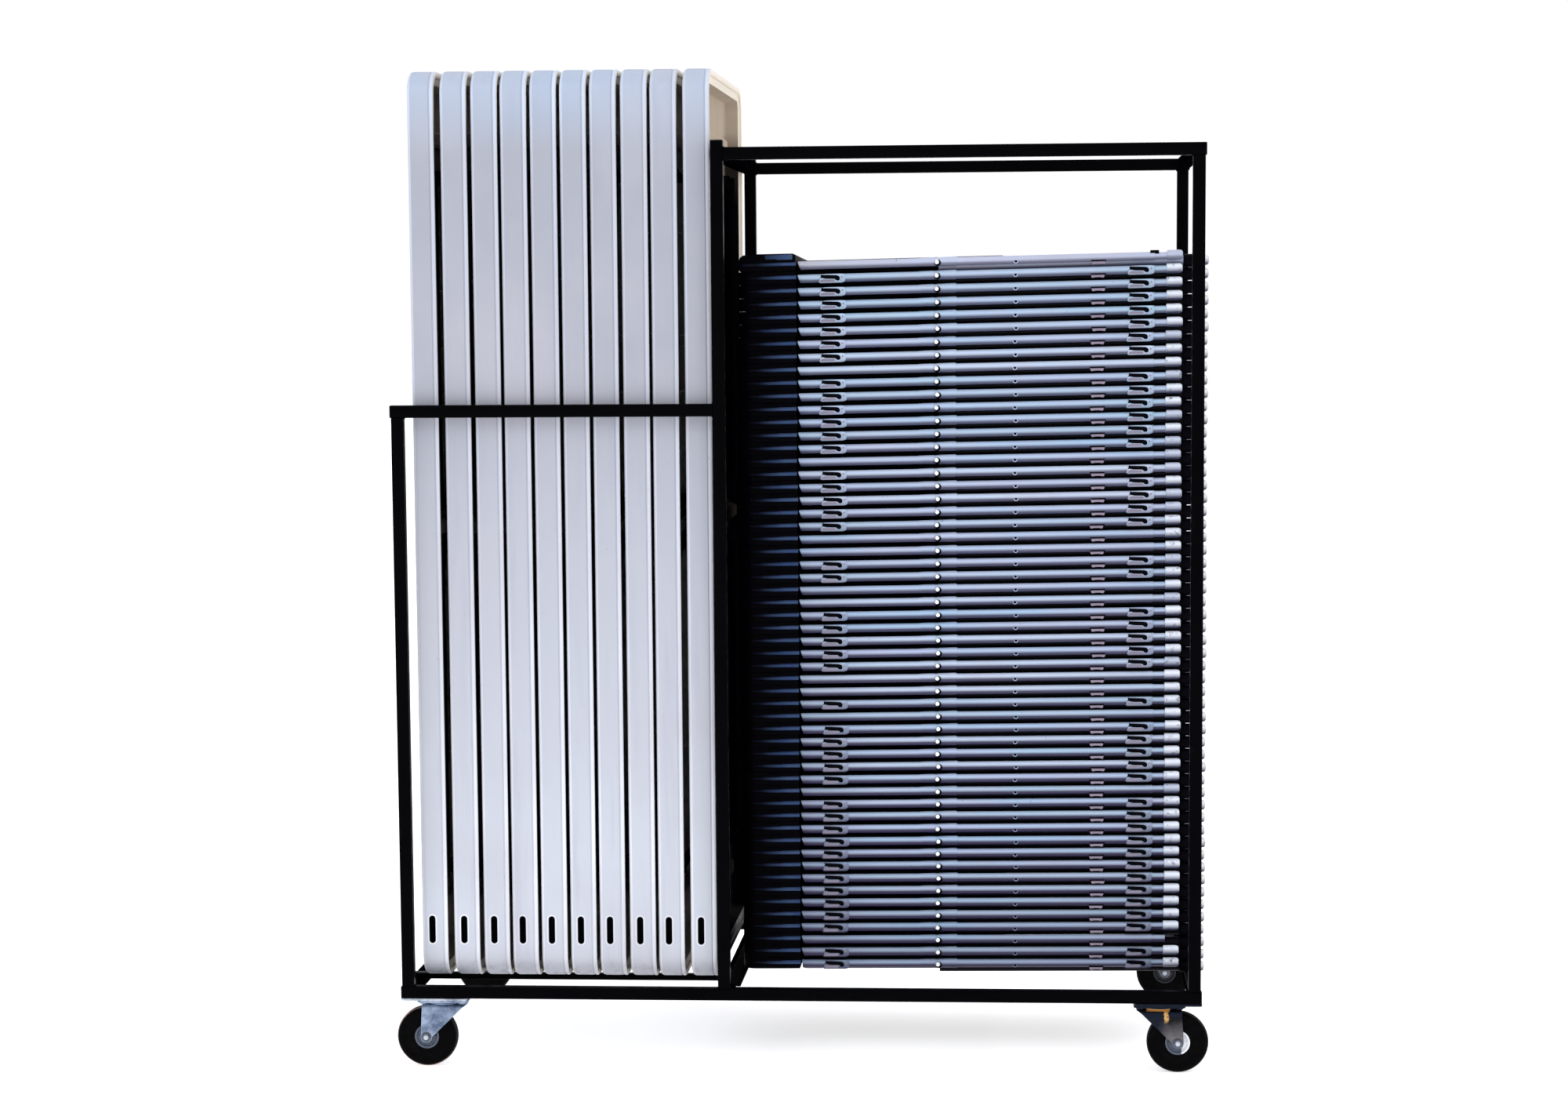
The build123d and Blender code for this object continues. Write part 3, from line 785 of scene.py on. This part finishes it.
for corner, (sx, sy) in corners.items():
    x, y = sx * SWIVEL[0], sy * SWIVEL[1]
    wheel = move(x + sx * TRAIL, y, AXLE_Z)
    facing = move(x, y, 0) @ Matrix.Diagonal((sx, 1, 1, 1))
    fork = Shape().add(fork_skin, facing).add(race, move(x, y, FORK_TOP) @ TO_Z)
    axle = Shape().add(axle_shank, wheel @ TO_Y)
    hub = Shape().add(hub_ring, wheel @ TO_Y)
    tyre = Shape().add(tyre_ring, wheel @ TO_Y, tyre_paint)
    for side in BOTH_SIDES:
        out = wheel @ move(0, side * FORK_HALF, 0) @ TO_Y @ Matrix.Diagonal((side, 1, 1, 1))
        axle.add(axle_washer, out).add(axle_end, out, 1)
        axle.add(axle_head, out @ turn(0.3 + side * 0.4, "X"))
        for k in range(SPOKES):
            spoke = turn(2 * pi * k / SPOKES, "Y") @ move(SPOKE_PLACE[0], side * SPOKE_PLACE[1], 0)
            hub.add(hub_rib, wheel @ spoke @ turn(-side * pi / 2, "X"))
    for part, shape, finishes, body, slot in (
        ("fork_pressed", fork, [zinc], "fork_body", "castor_zinc"),
        ("axle_bolt", axle, [axle_steel, pin_steel], "fork_body", "castor_zinc"),
        ("hub_moulded", hub, [hub_plastic], "wheel_body", "hub_plastic"),
        ("tyre_moulded", tyre, [rubber, tread], "wheel_body", "tyre_rubber"),
    ):
        node = f"castor_{corner}_{part.split('_')[0]}"
        piece(f"castor_{corner}_{part}", shape, finishes, f"castor_{corner}_{body}", slot, node)

# Tables
TABLE_WIDTH, TABLE_LENGTH, TABLE_THICK = 762, 1840, 54
TABLE_CORNER, LEAST_CORNER = 50, 6
TABLE_GAPS = (12, 8, 5, 6, 6, 6, 8, 5, 12)
RECESS_FLOOR = 20
table_low, table_high = box_mm("table_first_top")
table_middle = (table_low[2] + table_high[2]) / 2
table_faces = [table_low[0]]
for gap in TABLE_GAPS:
    table_faces.append(table_faces[-1] + TABLE_THICK + gap)
FACE, CREAM, DARK, RIM, RECESS = range(5)
table_finishes = [table_plastic, table_cream, table_dark, table_rim_highlight, table_recess]
last_table_finishes = [table_plastic, shaded_cream, table_dark, table_rim_highlight, shaded_recess]

# Section of the moulding, by finish: depth from the top face and inset from the outline
table_bands = (
    (FACE, (0, 14)),
    (RIM, (0.3, 9), (1.4, 5), (3.6, 2)),
    (FACE, (6.6, 0.5), (10, 0), (43.6, 0.2), (44.4, 1.3), (45.8, 1.5)),
    (RIM, (46.8, 0.4), (48.2, 0), (51.6, 0), (53.2, 0.8)),
    (CREAM, (TABLE_THICK, 2.6), (TABLE_THICK, 10), (53, 12), (50, 13.2), (49.4, 15), (49.4, 24)),
    (RECESS, (48, 27.5), (44, 28.6), (25, 31), (21.4, 33), (20.2, 37), (RECESS_FLOOR, 44)),
)
SLOT_WIDTH, SLOT_LENGTH, SLOT_DEPTH = 13, 57, 24
SLOT_PLACE = (22, -TABLE_LENGTH / 2 + 101)


def slot_outline(grow):
    return rounded(SLOT_WIDTH + grow, SLOT_LENGTH + grow, (SLOT_WIDTH + grow) / 2 - 0.01, 6)


def slotted_table():
    """One table, lying in the frame's directions, with its lock slots cut into the long edges."""
    steps = [step for finish, *band in table_bands for step in band]
    part = slab(steps, TABLE_WIDTH, TABLE_LENGTH, TABLE_CORNER, LEAST_CORNER, 8)
    around = len(part[0]) // len(steps)
    marks = [finish for finish, *band in table_bands for k in range(around * len(band))]
    marks = marks[:-around] + [FACE, RECESS]
    blank = Shape().add(part, None, marks).built("table_blank", table_finishes)
    cutters = Shape()
    plug = prism(slot_outline(0), -SLOT_DEPTH, SLOT_DEPTH)
    for side in BOTH_SIDES:
        place = move(SLOT_PLACE[0], side * TABLE_WIDTH / 2, SLOT_PLACE[1])
        cutters.add(plug, place @ turn(pi / 2, "X"), DARK)
    cutter = cutters.built("table_slot_cutter", table_finishes)
    cut = blank.modifiers.new("slots", "BOOLEAN")
    cut.operation = "DIFFERENCE"
    cut.solver = "EXACT"
    cut.object = cutter
    shown = blank.evaluated_get(bpy.context.evaluated_depsgraph_get())
    done = shown.to_mesh()
    verts = [tuple(c / MM for c in v.co) for v in done.vertices]
    faces = [tuple(p.vertices) for p in done.polygons]
    marks = [p.material_index for p in done.polygons]
    shown.to_mesh_clear()
    bpy.data.batch_remove((blank, cutter))
    return (verts, faces), marks


def flange_form(side):
    """Raised lip round a lock slot on the long edge of a table."""
    x, z = SLOT_PLACE
    half = TABLE_WIDTH / 2
    return loft([
        [(x + p, side * (half + out), z + q) for p, q in slot_outline(grow)]
        for grow, out in ((6.5, -0.3), (5.5, 0.2), (3, 0.4), (1, 0.2), (0.4, -1.5))
    ], False)


def rib_form(z, width, height, rise):
    """Rib moulded into the recess, across the table."""
    steps = ((0, 0), (0.35 * rise, 1), (0.8 * rise, 3), (rise, 6.5))
    verts, faces = slab(steps, width, height, height / 2 - 0.2, 0, 5)
    return [(RECESS_FLOOR - 0.1 + out, p, z + q) for out, p, q in verts], faces


# Ribs lie clear of the folded legs: height from the middle, width, height and rise
rib_places = [(-790, 560, 36, 12), (790, 560, 36, 12), (0, 640, 34, 22)]
for half in BOTH_SIDES:
    rib_places += [(half * (140 + 118 * k), 470, 26, 5) for k in range(5)]
table_part, table_marks = slotted_table()
flanges = [flange_form(side) for side in BOTH_SIDES]
ribs = [rib_form(*place) for place in rib_places]


def add_table(shape, place):
    shape.add(table_part, place, table_marks)
    for part in flanges:
        shape.add(part, place, RIM)
    for part in ribs:
        shape.add(part, place, RECESS)


# Folded leg frames, measured from the middle of the table
LEG_OUT = 287.5
LEG_TUBE, CROSS_TUBE = 12.2, 9.5
LEG_BEND = 62
LEG_DEPTH = RECESS_FLOOR + 12.9
LEG_FOOT, LEG_HINGE, CROSS_BAR = 44, 724, 712
BRACKET_DEPTH, BRACKET_OUT, LUG_OUT, LUG_RISE = RECESS_FLOOR + 0.3, 230, 218, 11.5
STRAP_PLACE = (40, 30, 545)
STRAP_LEAN = radians(9)


def leg_path(half):
    """U of a leg frame: up one leg, round the foot and back, as seen on the underside."""
    side = [(-LEG_OUT, half * LEG_HINGE), (-LEG_OUT, half * (LEG_HINGE + LEG_FOOT) / 2)]
    for k in range(7):
        a = radians(15 * k)
        side.append((
            LEG_BEND - LEG_OUT - LEG_BEND * cos(a),
            half * (LEG_FOOT + LEG_BEND - LEG_BEND * sin(a)),
        ))
    return [(LEG_DEPTH, y, z) for y, z in side + mirrored(side)]


bracket = ease(prism(rounded(74, 44, 7, 4), 0, 2.4), 0.5)
lug_plate = prism(rounded(44, 30, 9, 3), -1.2, 1.2)
strap = prism(rounded(16, 330, 7.9, 4), 0, 3, 0.5)


def add_legs(shape, place):
    to_face = turn(pi / 2, "Y")
    for half in BOTH_SIDES:
        bar = half * CROSS_BAR
        shape.add(sweep(leg_path(half), LEG_TUBE, 14), place)
        ends = [(LEG_DEPTH, sign * LEG_OUT, bar) for sign in BOTH_SIDES]
        shape.add(sweep(ends, CROSS_TUBE, 12), place)
        for sign in BOTH_SIDES:
            shape.add(bracket, place @ move(BRACKET_DEPTH, sign * BRACKET_OUT, bar) @ to_face)
            upright = move(BRACKET_DEPTH, sign * LUG_OUT, bar) @ turn(pi / 2, "X")
            narrow = move(LUG_RISE, 0, 0) @ Matrix.Diagonal((0.5, 1, 1, 1))
            shape.add(lug_plate, place @ upright @ narrow)
        out, y, z = STRAP_PLACE
        lean = move(out, half * y, half * z) @ turn(half * STRAP_LEAN, "X")
        shape.add(strap, place @ lean @ to_face @ turn(pi / 2, "Z"))


for name, body, faces, top_node, finishes in (
    ("table_first", "first_table", table_faces[:1], "table_first_top", table_finishes),
    ("tables_middle", "frame", table_faces[1:-1], "tables_middle_tops", table_finishes),
    ("table_last", "frame", table_faces[-1:], "table_last_top", last_table_finishes),
):
    tops, legs = Shape(), Shape()
    for face in faces:
        add_table(tops, move(face, 0, table_middle))
        add_legs(legs, move(face, 0, table_middle))
    piece(f"{name}_moulding", tops, finishes, body, "table_plastic", top_node)
    piece(f"{name}_leg_frames", legs, [leg_paint], body, "table_leg_paint", f"{name}_legs")

# Chairs: each has its own X from back rest to feet, Y across and Z up. The stack starts on the
# left rest, and its pitch and its lean grow upwards
CHAIRS = 56
PITCH, PITCH_GROWTH = 25.59, 0.02233
LEAN = asin(8.427 / 914)
FAN = radians(0.0103)
STACK_X, STACK_Z = -125.5, box_mm("chair_rest_left")[1][2] + 2.2
LEVEL, LEG_LEVEL = 9.8, -0.6
OUTER, INNER = 230.5, 210.6
CHAIR_TUBE = 8.6
NECK = 7.5
NECK_AT = 846
TUBE_SIDES = 18
NO_CLIPS = {2, 14, 20, 22, 23, 29, 30, 33, 34, 40, 47}
NO_CAP = {2}


def chair_place(index, slip=0, drift=0):
    t = LEAN + index * FAN
    rise = index * PITCH + index ** 2 * PITCH_GROWTH / 2
    return move(STACK_X, 0, STACK_Z + rise) @ turn(-t, "Y") @ move(slip, drift, 0)


def side_place(side, along, rise, out):
    """Place of a flat form on a side of a chair: its X along the tube, its Y up, facing out."""
    return Matrix(((1, 0, 0, along), (0, 0, side, side * out), (0, 1, 0, rise), (0, 0, 0, 1)))


# Side tube: cut off aslant behind the back rest, drawn in to a neck above its foot
side_tube = loft([
    [(along + slant * (1 - q) / 2, radius * p, radius * q) for p, q in circle(1, TUBE_SIDES)]
    for along, radius, slant in (
        (122.8, 6.8, 5), (123.4, 8, 5), (124.6, CHAIR_TUBE, 5), (150, CHAIR_TUBE, 0),
        (NECK_AT, CHAIR_TUBE, 0), (NECK_AT + 1.6, NECK, 0), (NECK_AT + 28, NECK, 0),
    )
])
inner_leg = lathe([(409, 9), (410, 10.2), (934, 10.2), (935, 9.4)], 14)
foot_cap = lathe([(870.6, 8.6), (871.2, 9.8), (873, 10.2), (893, 10.2), (897.5, 9.9), (900.6, 8.8),
                  (902.4, 6.4)], 20)
leg_cap = lathe([(931, 9.8), (931.6, 10.6), (933, 10.8), (949, 10.7), (953, 9.6), (955, 7.4),
                 (955.8, 4)], 16)
# Dark sleeves above the leg caps: painted shade at the ends of the inner legs, closing the gaps
# between them
leg_sleeve = lathe([(904, 11), (905, 12.7), (930.5, 12.9), (931.6, 12)], 16)
rivet = lathe([(-1, 4.9), (0.9, 4.9), (2.2, 4.1), (3, 2.7), (3.3, 1.3)], 16)
rivet_shadow = lathe([(-1, 6.6), (0.5, 6.6), (0.6, 6.1)], 16)
saddle = lathe([(369, 8.5), (384, 9), (399, 9.2), (402, 8.7), (406, 8.8), (410, 9.4), (434, 9.9),
                (444, 10), (447, 8.5)], TUBE_SIDES)
dimple = lathe([(-0.8, 5.2), (0.3, 5), (0.5, 4.2), (0.1, 3)], 14)
# Dark pit in the dimple: painted shade in its hollow
dimple_pit = lathe([(-0.8, 3), (0.25, 3), (0.6, 2.4)], 12)
tab_half = [(-12.5, 0), (-14, -2.2), (-12, -6.8), (-8, -6.6), (-4, -5.2)]
tab = prism(tab_half + mirrored(tab_half), -3.5, 3.5, 0.5)
tab_shadow = prism([(-15, 1.4), (-15, -1.4), (15, -1.4), (15, 1.4)], -2, 2, 0.4)

# Link plate on the outside of a side tube: a hook left by a slot that runs in from its
# upper left edge and turns down at its far end, with a rough tongue below the slot
clip = prism([
    (2, -9.8), (46, -9.8), (51.5, -8.2), (53.5, -5), (53.5, 4.6), (51, 7.6), (46.5, 8.5), (13, 8.5),
    (8, 8.1), (5.5, 7.2), (9, 6.4), (36, 6), (41, 4.2), (43.2, 0.6), (42.8, -3.8), (39.4, -6),
    (34.8, -5), (33, -2.4), (30, -1.6), (13, -1.4), (6, 0.8), (2.6, -0.8), (0.8, -4), (-0.6, -7.6)
], 0, 3.4, 0.4)
# Dark backing in the clip's slot: painted shade
slot_floor = prism([
    (3, 0.2), (13, -2.6), (32, -3.4), (33, -6.8), (43.8, -6.8), (44.2, 4.8), (37, 7), (5, 7.8)
], 0, 2.5)
tongue = prism([
    (3.2, -3.6), (9, -2.4), (30, -2.8), (31.6, -4.4), (32.4, -6), (29, -7.6), (2, -7.6)
], 0, 3.6, 0.15)
clip_spot = lathe([(-0.5, 1.9), (0.3, 1.8), (0.4, 1.2)], 10)

# Back rests, seat and brace
BACK_HALF, BACK_ROUND = 234, (29.5, 24)
RIDGE_SIDES, RIDGE_STEPS = 14, 9
SEAT_MIDDLE, SEAT_LENGTH, SEAT_WIDTH, SEAT_CORNER = 331, 420, 402, 12
BRACE_AT, BRACE_HALF = 865, 201


def back_form():
    """Back rest: a dark plate with rounded upper corners, its sides set in from the tubes."""
    outline = [(119.5, BACK_HALF - 1), (92, BACK_HALF), (30, BACK_HALF)]
    for k in range(1, 9):
        a = radians(90 * k / 8)
        outline.append((30 - BACK_ROUND[0] * sin(a), BACK_HALF - BACK_ROUND[1] * (1 - cos(a))))
    full = outline + [(u, -v) for u, v in reversed(outline)]
    return loft([
        [(u + inset * (1 - u / 60), v - copysign(inset, v), w) for u, v in full]
        for w, inset in ((-0.2, 1), (0.4, 0.3), (2, 0), (24, 0), (25.6, 0.3), (26.2, 1))
    ])


def ridge_form(side, start, full, end):
    """Bulge along the edge of a back rest, level with the tube that it meets."""
    rings = []
    for k in range(RIDGE_STEPS + 1):
        u = start + (end - start) * k / RIDGE_STEPS
        share = min(1, max(0.06, (u - start) / (full - start)))
        section = circle(sqrt(share * (2 - share)), RIDGE_SIDES)
        rings.append([(u, side * (231 + 8.6 * p), 13.4 + 4.2 * q) for p, q in section])
    return loft(rings)


def seat_form():
    """Seat panel: rounded in plan, with a rolled edge."""
    steps = ((-6.6, 3), (-5.8, 0.8), (-4, 0), (17.6, 0), (19.2, 0.6), (19.9, 2))
    verts, faces = slab(steps, SEAT_LENGTH, SEAT_WIDTH, SEAT_CORNER, 0, 6)
    return [(SEAT_MIDDLE + p, q, w) for w, p, q in verts], faces


def upper_back_form():
    """Back rest of the top chair: it shows its whole height, which falls towards the rear."""
    outline = [(2, 4.6), (5.5, -0.4), (118, -0.4), (118.5, 29), (117, 33), (113, 34.8),
               (40, 35.2), (12, 33.6), (5, 29), (2.2, 20)]
    half, level_to, fall, fixed_below = 236, -150, 0.3, 20
    verts, faces = prism(outline, -half, half, 2)
    sloped = []
    for u, w, v in verts:
        share = min(1, 1 - fall * (v - level_to) / (half - level_to))
        sloped.append((u, v, w * share if w > fixed_below else w))
    return sloped, faces


# Brace between the inner legs in the near-black back plastic: painted shade between the legs
def brace_form():
    verts, faces = prism(rounded(21.6, 7.6, 2, 3), -BRACE_HALF, BRACE_HALF, 0.4)
    return [(BRACE_AT + u, v, LEG_LEVEL + w) for u, w, v in verts], faces


lower_back, upper_back, seat, brace = back_form(), upper_back_form(), seat_form(), brace_form()
# Ridges take the back's edge finish, a painted highlight
lower_ridges = [ridge_form(side, 22, 72, 120.4) for side in BOTH_SIDES]
upper_ridges = [ridge_form(side, 1, 14, 119) for side in BOTH_SIDES]
back_lug = prism([(-13.5, -1), (-9.5, 4.8), (8.5, 4.8), (12.5, -1)], -12, 0, 0.6)
# Panels on the top chair's back rest, finished in the edge's painted highlight
upper_panel = prism([
    (-29, 4.6), (-26, -4.4), (-8, -3), (-2, -5), (28, -5), (29, 4), (27, 5.4)
], -3, 0, 0.5)
bump = lathe([(-9, 5), (-8, 6.4), (8, 6.4), (9, 5)], 16)

# Finishes of each kind of piece, and their places in its list
DARK_FIT, BRIGHT_FIT, TAN_FIT, TONGUE_FIT = range(TONES, TONES + 4)
LEG_COAT, BRACE_COAT = TONES, TONES + 1
WHITE_CAP, GREY_CAP, WORN_CAP, SLEEVE, LEG_CAP = range(5)
looks = {
    "side": (chair_tones, "chair_paint"),
    "inner": (chair_tones + [chair_leg_coat, chair_plastic], "chair_paint"),
    "seat": ([chair_plastic], "chair_plastic"),
    "back": ([chair_plastic, chair_edge], "chair_plastic"),
    "fittings": (chair_tones + [chair_dark, bright_steel, tab_tan, tongue_grey], "chair_paint"),
    "feet": ([foot_white, foot_grey, chair_tones[WORN], chair_dark, leg_foot], "foot_plastic"),
}

# Places of the fittings along a side tube, and how far they stand out from its middle
CAP_RISE, SADDLE_RISE = 1.2, 0.4
CLIP_STARTS, CLIP_OUT = (168, 792), 6.2
SPOT_PLACE = (47, 3.2, 2)
RIVET_AT, RIVET_OUT = 406.2, CHAIR_TUBE + 1.2
DIMPLE_AT, DIMPLE_OUT = 566, CHAIR_TUBE - 0.8
TAB_AT = 733


def add_chair(shapes, index, place, tone):
    fit, feet = shapes["fittings"], shapes["feet"]
    worn = tone == WORN
    clip_starts = () if worn or index in NO_CLIPS else CLIP_STARTS
    for side in BOTH_SIDES:
        outward = turn(side * pi / 2, "Z")
        tube = place @ move(0, side * OUTER, LEVEL)
        leg = place @ move(0, side * INNER, LEG_LEVEL)
        shapes["side"].add(side_tube, tube, tone)
        shapes["inner"].add(inner_leg, leg, tone if worn else LEG_COAT)
        if index not in NO_CAP:
            cap = WORN_CAP if worn else chance.choice((WHITE_CAP, WHITE_CAP, GREY_CAP))
            feet.add(foot_cap, tube @ move(0, 0, CAP_RISE), cap)
        feet.add(leg_sleeve, leg, SLEEVE).add(leg_cap, leg, LEG_CAP)
        for start in clip_starts:
            start += chance.uniform(-1.2, 1.2)
            at = tube @ side_place(side, start, 0, CLIP_OUT)
            fit.add(clip, at, tone).add(slot_floor, at, DARK_FIT).add(tongue, at, TONGUE_FIT)
            along, out, rise = SPOT_PLACE
            spot = tube @ move(start + along, side * (CLIP_OUT + out), rise) @ outward
            fit.add(clip_spot, spot, TONGUE_FIT)
        fit.add(saddle, tube @ move(0, 0, SADDLE_RISE), tone)
        for form, along, out, rise, finish in (
            (rivet_shadow, RIVET_AT + 1.6, RIVET_OUT, -1.8, DARK_FIT),
            (rivet, RIVET_AT, RIVET_OUT, -0.2, BRIGHT_FIT),
            (dimple, DIMPLE_AT, DIMPLE_OUT, -3, tone),
            (dimple_pit, DIMPLE_AT, DIMPLE_OUT, -3, DARK_FIT),
        ):
            fit.add(form, tube @ move(along, side * out, rise) @ outward, finish)
        tab_at = TAB_AT + chance.uniform(-1.5, 1.5)
        fit.add(tab, tube @ side_place(side, tab_at, -6.8, 3), TAN_FIT)
        fit.add(tab_shadow, tube @ side_place(side, TAB_AT, -6.4, 5.6), DARK_FIT)
        shapes["back"].add(back_lug, place @ side_place(side, 70, 18.6, 238))
    shapes["inner"].add(brace, place, BRACE_COAT)
    shapes["seat"].add(seat, place)


lower = {key: Shape() for key in looks}
for index in range(CHAIRS - 1):
    place = chair_place(index, chance.uniform(-2, 0.4), chance.uniform(-1.5, 1.5))
    add_chair(lower, index, place, chance.randrange(WORN))
    lower["back"].add(lower_back, place)
    for part in lower_ridges:
        lower["back"].add(part, place, 1)

top = {key: Shape() for key in looks}
top_place = chair_place(CHAIRS - 1)
add_chair(top, CHAIRS - 1, top_place, WORN)
top["back"].add(upper_back, top_place)
for side, part, panel_rise in zip(BOTH_SIDES, upper_ridges, (27.6, 18.4)):
    top["back"].add(part, top_place, 1)
    top["back"].add(upper_panel, top_place @ side_place(side, 84, panel_rise, 237.4), 1)
    top["fittings"].add(bump, top_place @ move(NECK_AT, side * OUTER, LEVEL + 5.5), DARK_FIT)

chair_sets = (
    ("stacked_chairs", lower, "frame", {
        "side": ("chair_front_side_tubes", "chair_rear_side_tubes"),
        "inner": ("chair_front_inner_legs", "chair_rear_inner_legs", "chair_leg_braces"),
        "seat": ("chair_seats",),
        "back": ("chair_backs",),
    }),
    ("upper_chair", top, "top_chair", {
        "side": ("top_chair_side_tubes",),
        "inner": ("top_chair_inner_legs",),
        "seat": ("top_chair_seat",),
        "back": ("top_chair_back",),
        "feet": ("top_chair_foot_caps",),
    }),
)
for name, shapes, body, nodes in chair_sets:
    for key, shape in shapes.items():
        finishes, slot = looks[key]
        piece(f"{name}_{key}", shape, finishes, body, slot, *nodes.get(key, ()))

# Stage
FLOOR_REACH, FLOOR_Z = 40000, -0.2
floor_corners = [
    (FLOOR_REACH * x, FLOOR_REACH * y, FLOOR_Z) for x, y in ((-1, -1), (1, -1), (1, 1), (-1, 1))
]
ground = Finish("pale_floor", specular=0.1)
pale = ground.mottle(0.6, 2, (243, 243, 244), (247, 247, 248))
for value, key in ((pale, "Base Color"), (0.9, "Roughness"), ((255, 255, 255), "Emission Color"),
                   (0.6, "Emission Strength")):
    ground.put(value, ground.shader[key])
floor = Shape().add((floor_corners, [(0, 1, 2, 3)])).built("floor", [ground.mat])

# Studio: white at the horizon, dimmer above it and bright overhead
world = bpy.data.worlds.new("studio")
world.use_nodes = True
tree = world.node_tree
sky_way = tree.nodes.new("ShaderNodeTexCoord")
sky_parts = tree.nodes.new("ShaderNodeSeparateXYZ")
sky = tree.nodes.new("ShaderNodeValToRGB")
backdrop = tree.nodes["Background"]
tree.links.new(sky_way.outputs["Generated"], sky_parts.inputs["Vector"])
tree.links.new(sky_parts.outputs["Z"], sky.inputs["Fac"])
tree.links.new(sky.outputs["Color"], backdrop.inputs["Color"])
backdrop.inputs["Strength"].default_value = 2
ramp = sky.color_ramp
for at, grey in ((0.13, 0.52), (0.24, 0.24), (0.5, 0.3), (0.75, 0.62)):
    ramp.elements.new(at).color = (grey, grey, grey * 1.03, 1)
ramp.elements[0].color = (0.52, 0.52, 0.53, 1)
ramp.elements[-1].color = (0.8, 0.8, 0.82, 1)
scene.world = world
scene.view_settings.view_transform = "Standard"


def area_light(name, place, target, size, power):
    data = bpy.data.lights.new(name, "AREA")
    data.shape = "RECTANGLE"
    data.size, data.size_y = size
    data.energy = power
    obj = new_object(name, data)
    obj.location = place
    aim = Vector(target) - Vector(place)
    obj.rotation_euler = aim.to_track_quat("-Z", "Y").to_euler()


area_light("key", (-2.4, -5, 5.2), (0, 0, 1), (3, 3), 70)
area_light("fill", (4.5, -4, 3.6), (0.2, 0, 0.9), (3, 3), 30)
area_light("rear", (1.5, 5, 4), (0, 0, 1), (4, 3), 40)

# Camera: the photograph's viewpoint, in metres, and its optics, in pixels of the photograph
EYE = (0.4903, -7.2907, 1.5586)
FOCAL = 4400
PHOTO_WIDTH, PHOTO_HEIGHT, AXIS_ROW = 2000, 1414, 880
SENSOR = 36
yaw, pitch, roll = radians(4.275), radians(6.413), radians(0.427)
camera_data = bpy.data.cameras.new("camera")
camera_data.sensor_fit = "HORIZONTAL"
camera_data.sensor_width = SENSOR
camera_data.lens = FOCAL / PHOTO_WIDTH * SENSOR
camera_data.shift_y = (AXIS_ROW - PHOTO_HEIGHT / 2) / PHOTO_WIDTH
camera_data.clip_end = 200
camera = new_object("camera", camera_data)
to_level = turn(pi / 2 - pitch, "X")
camera.matrix_world = move(*EYE) @ turn(yaw, "Z") @ to_level @ turn(-roll, "Z")
scene.camera = camera

bpy.context.view_layer.update()
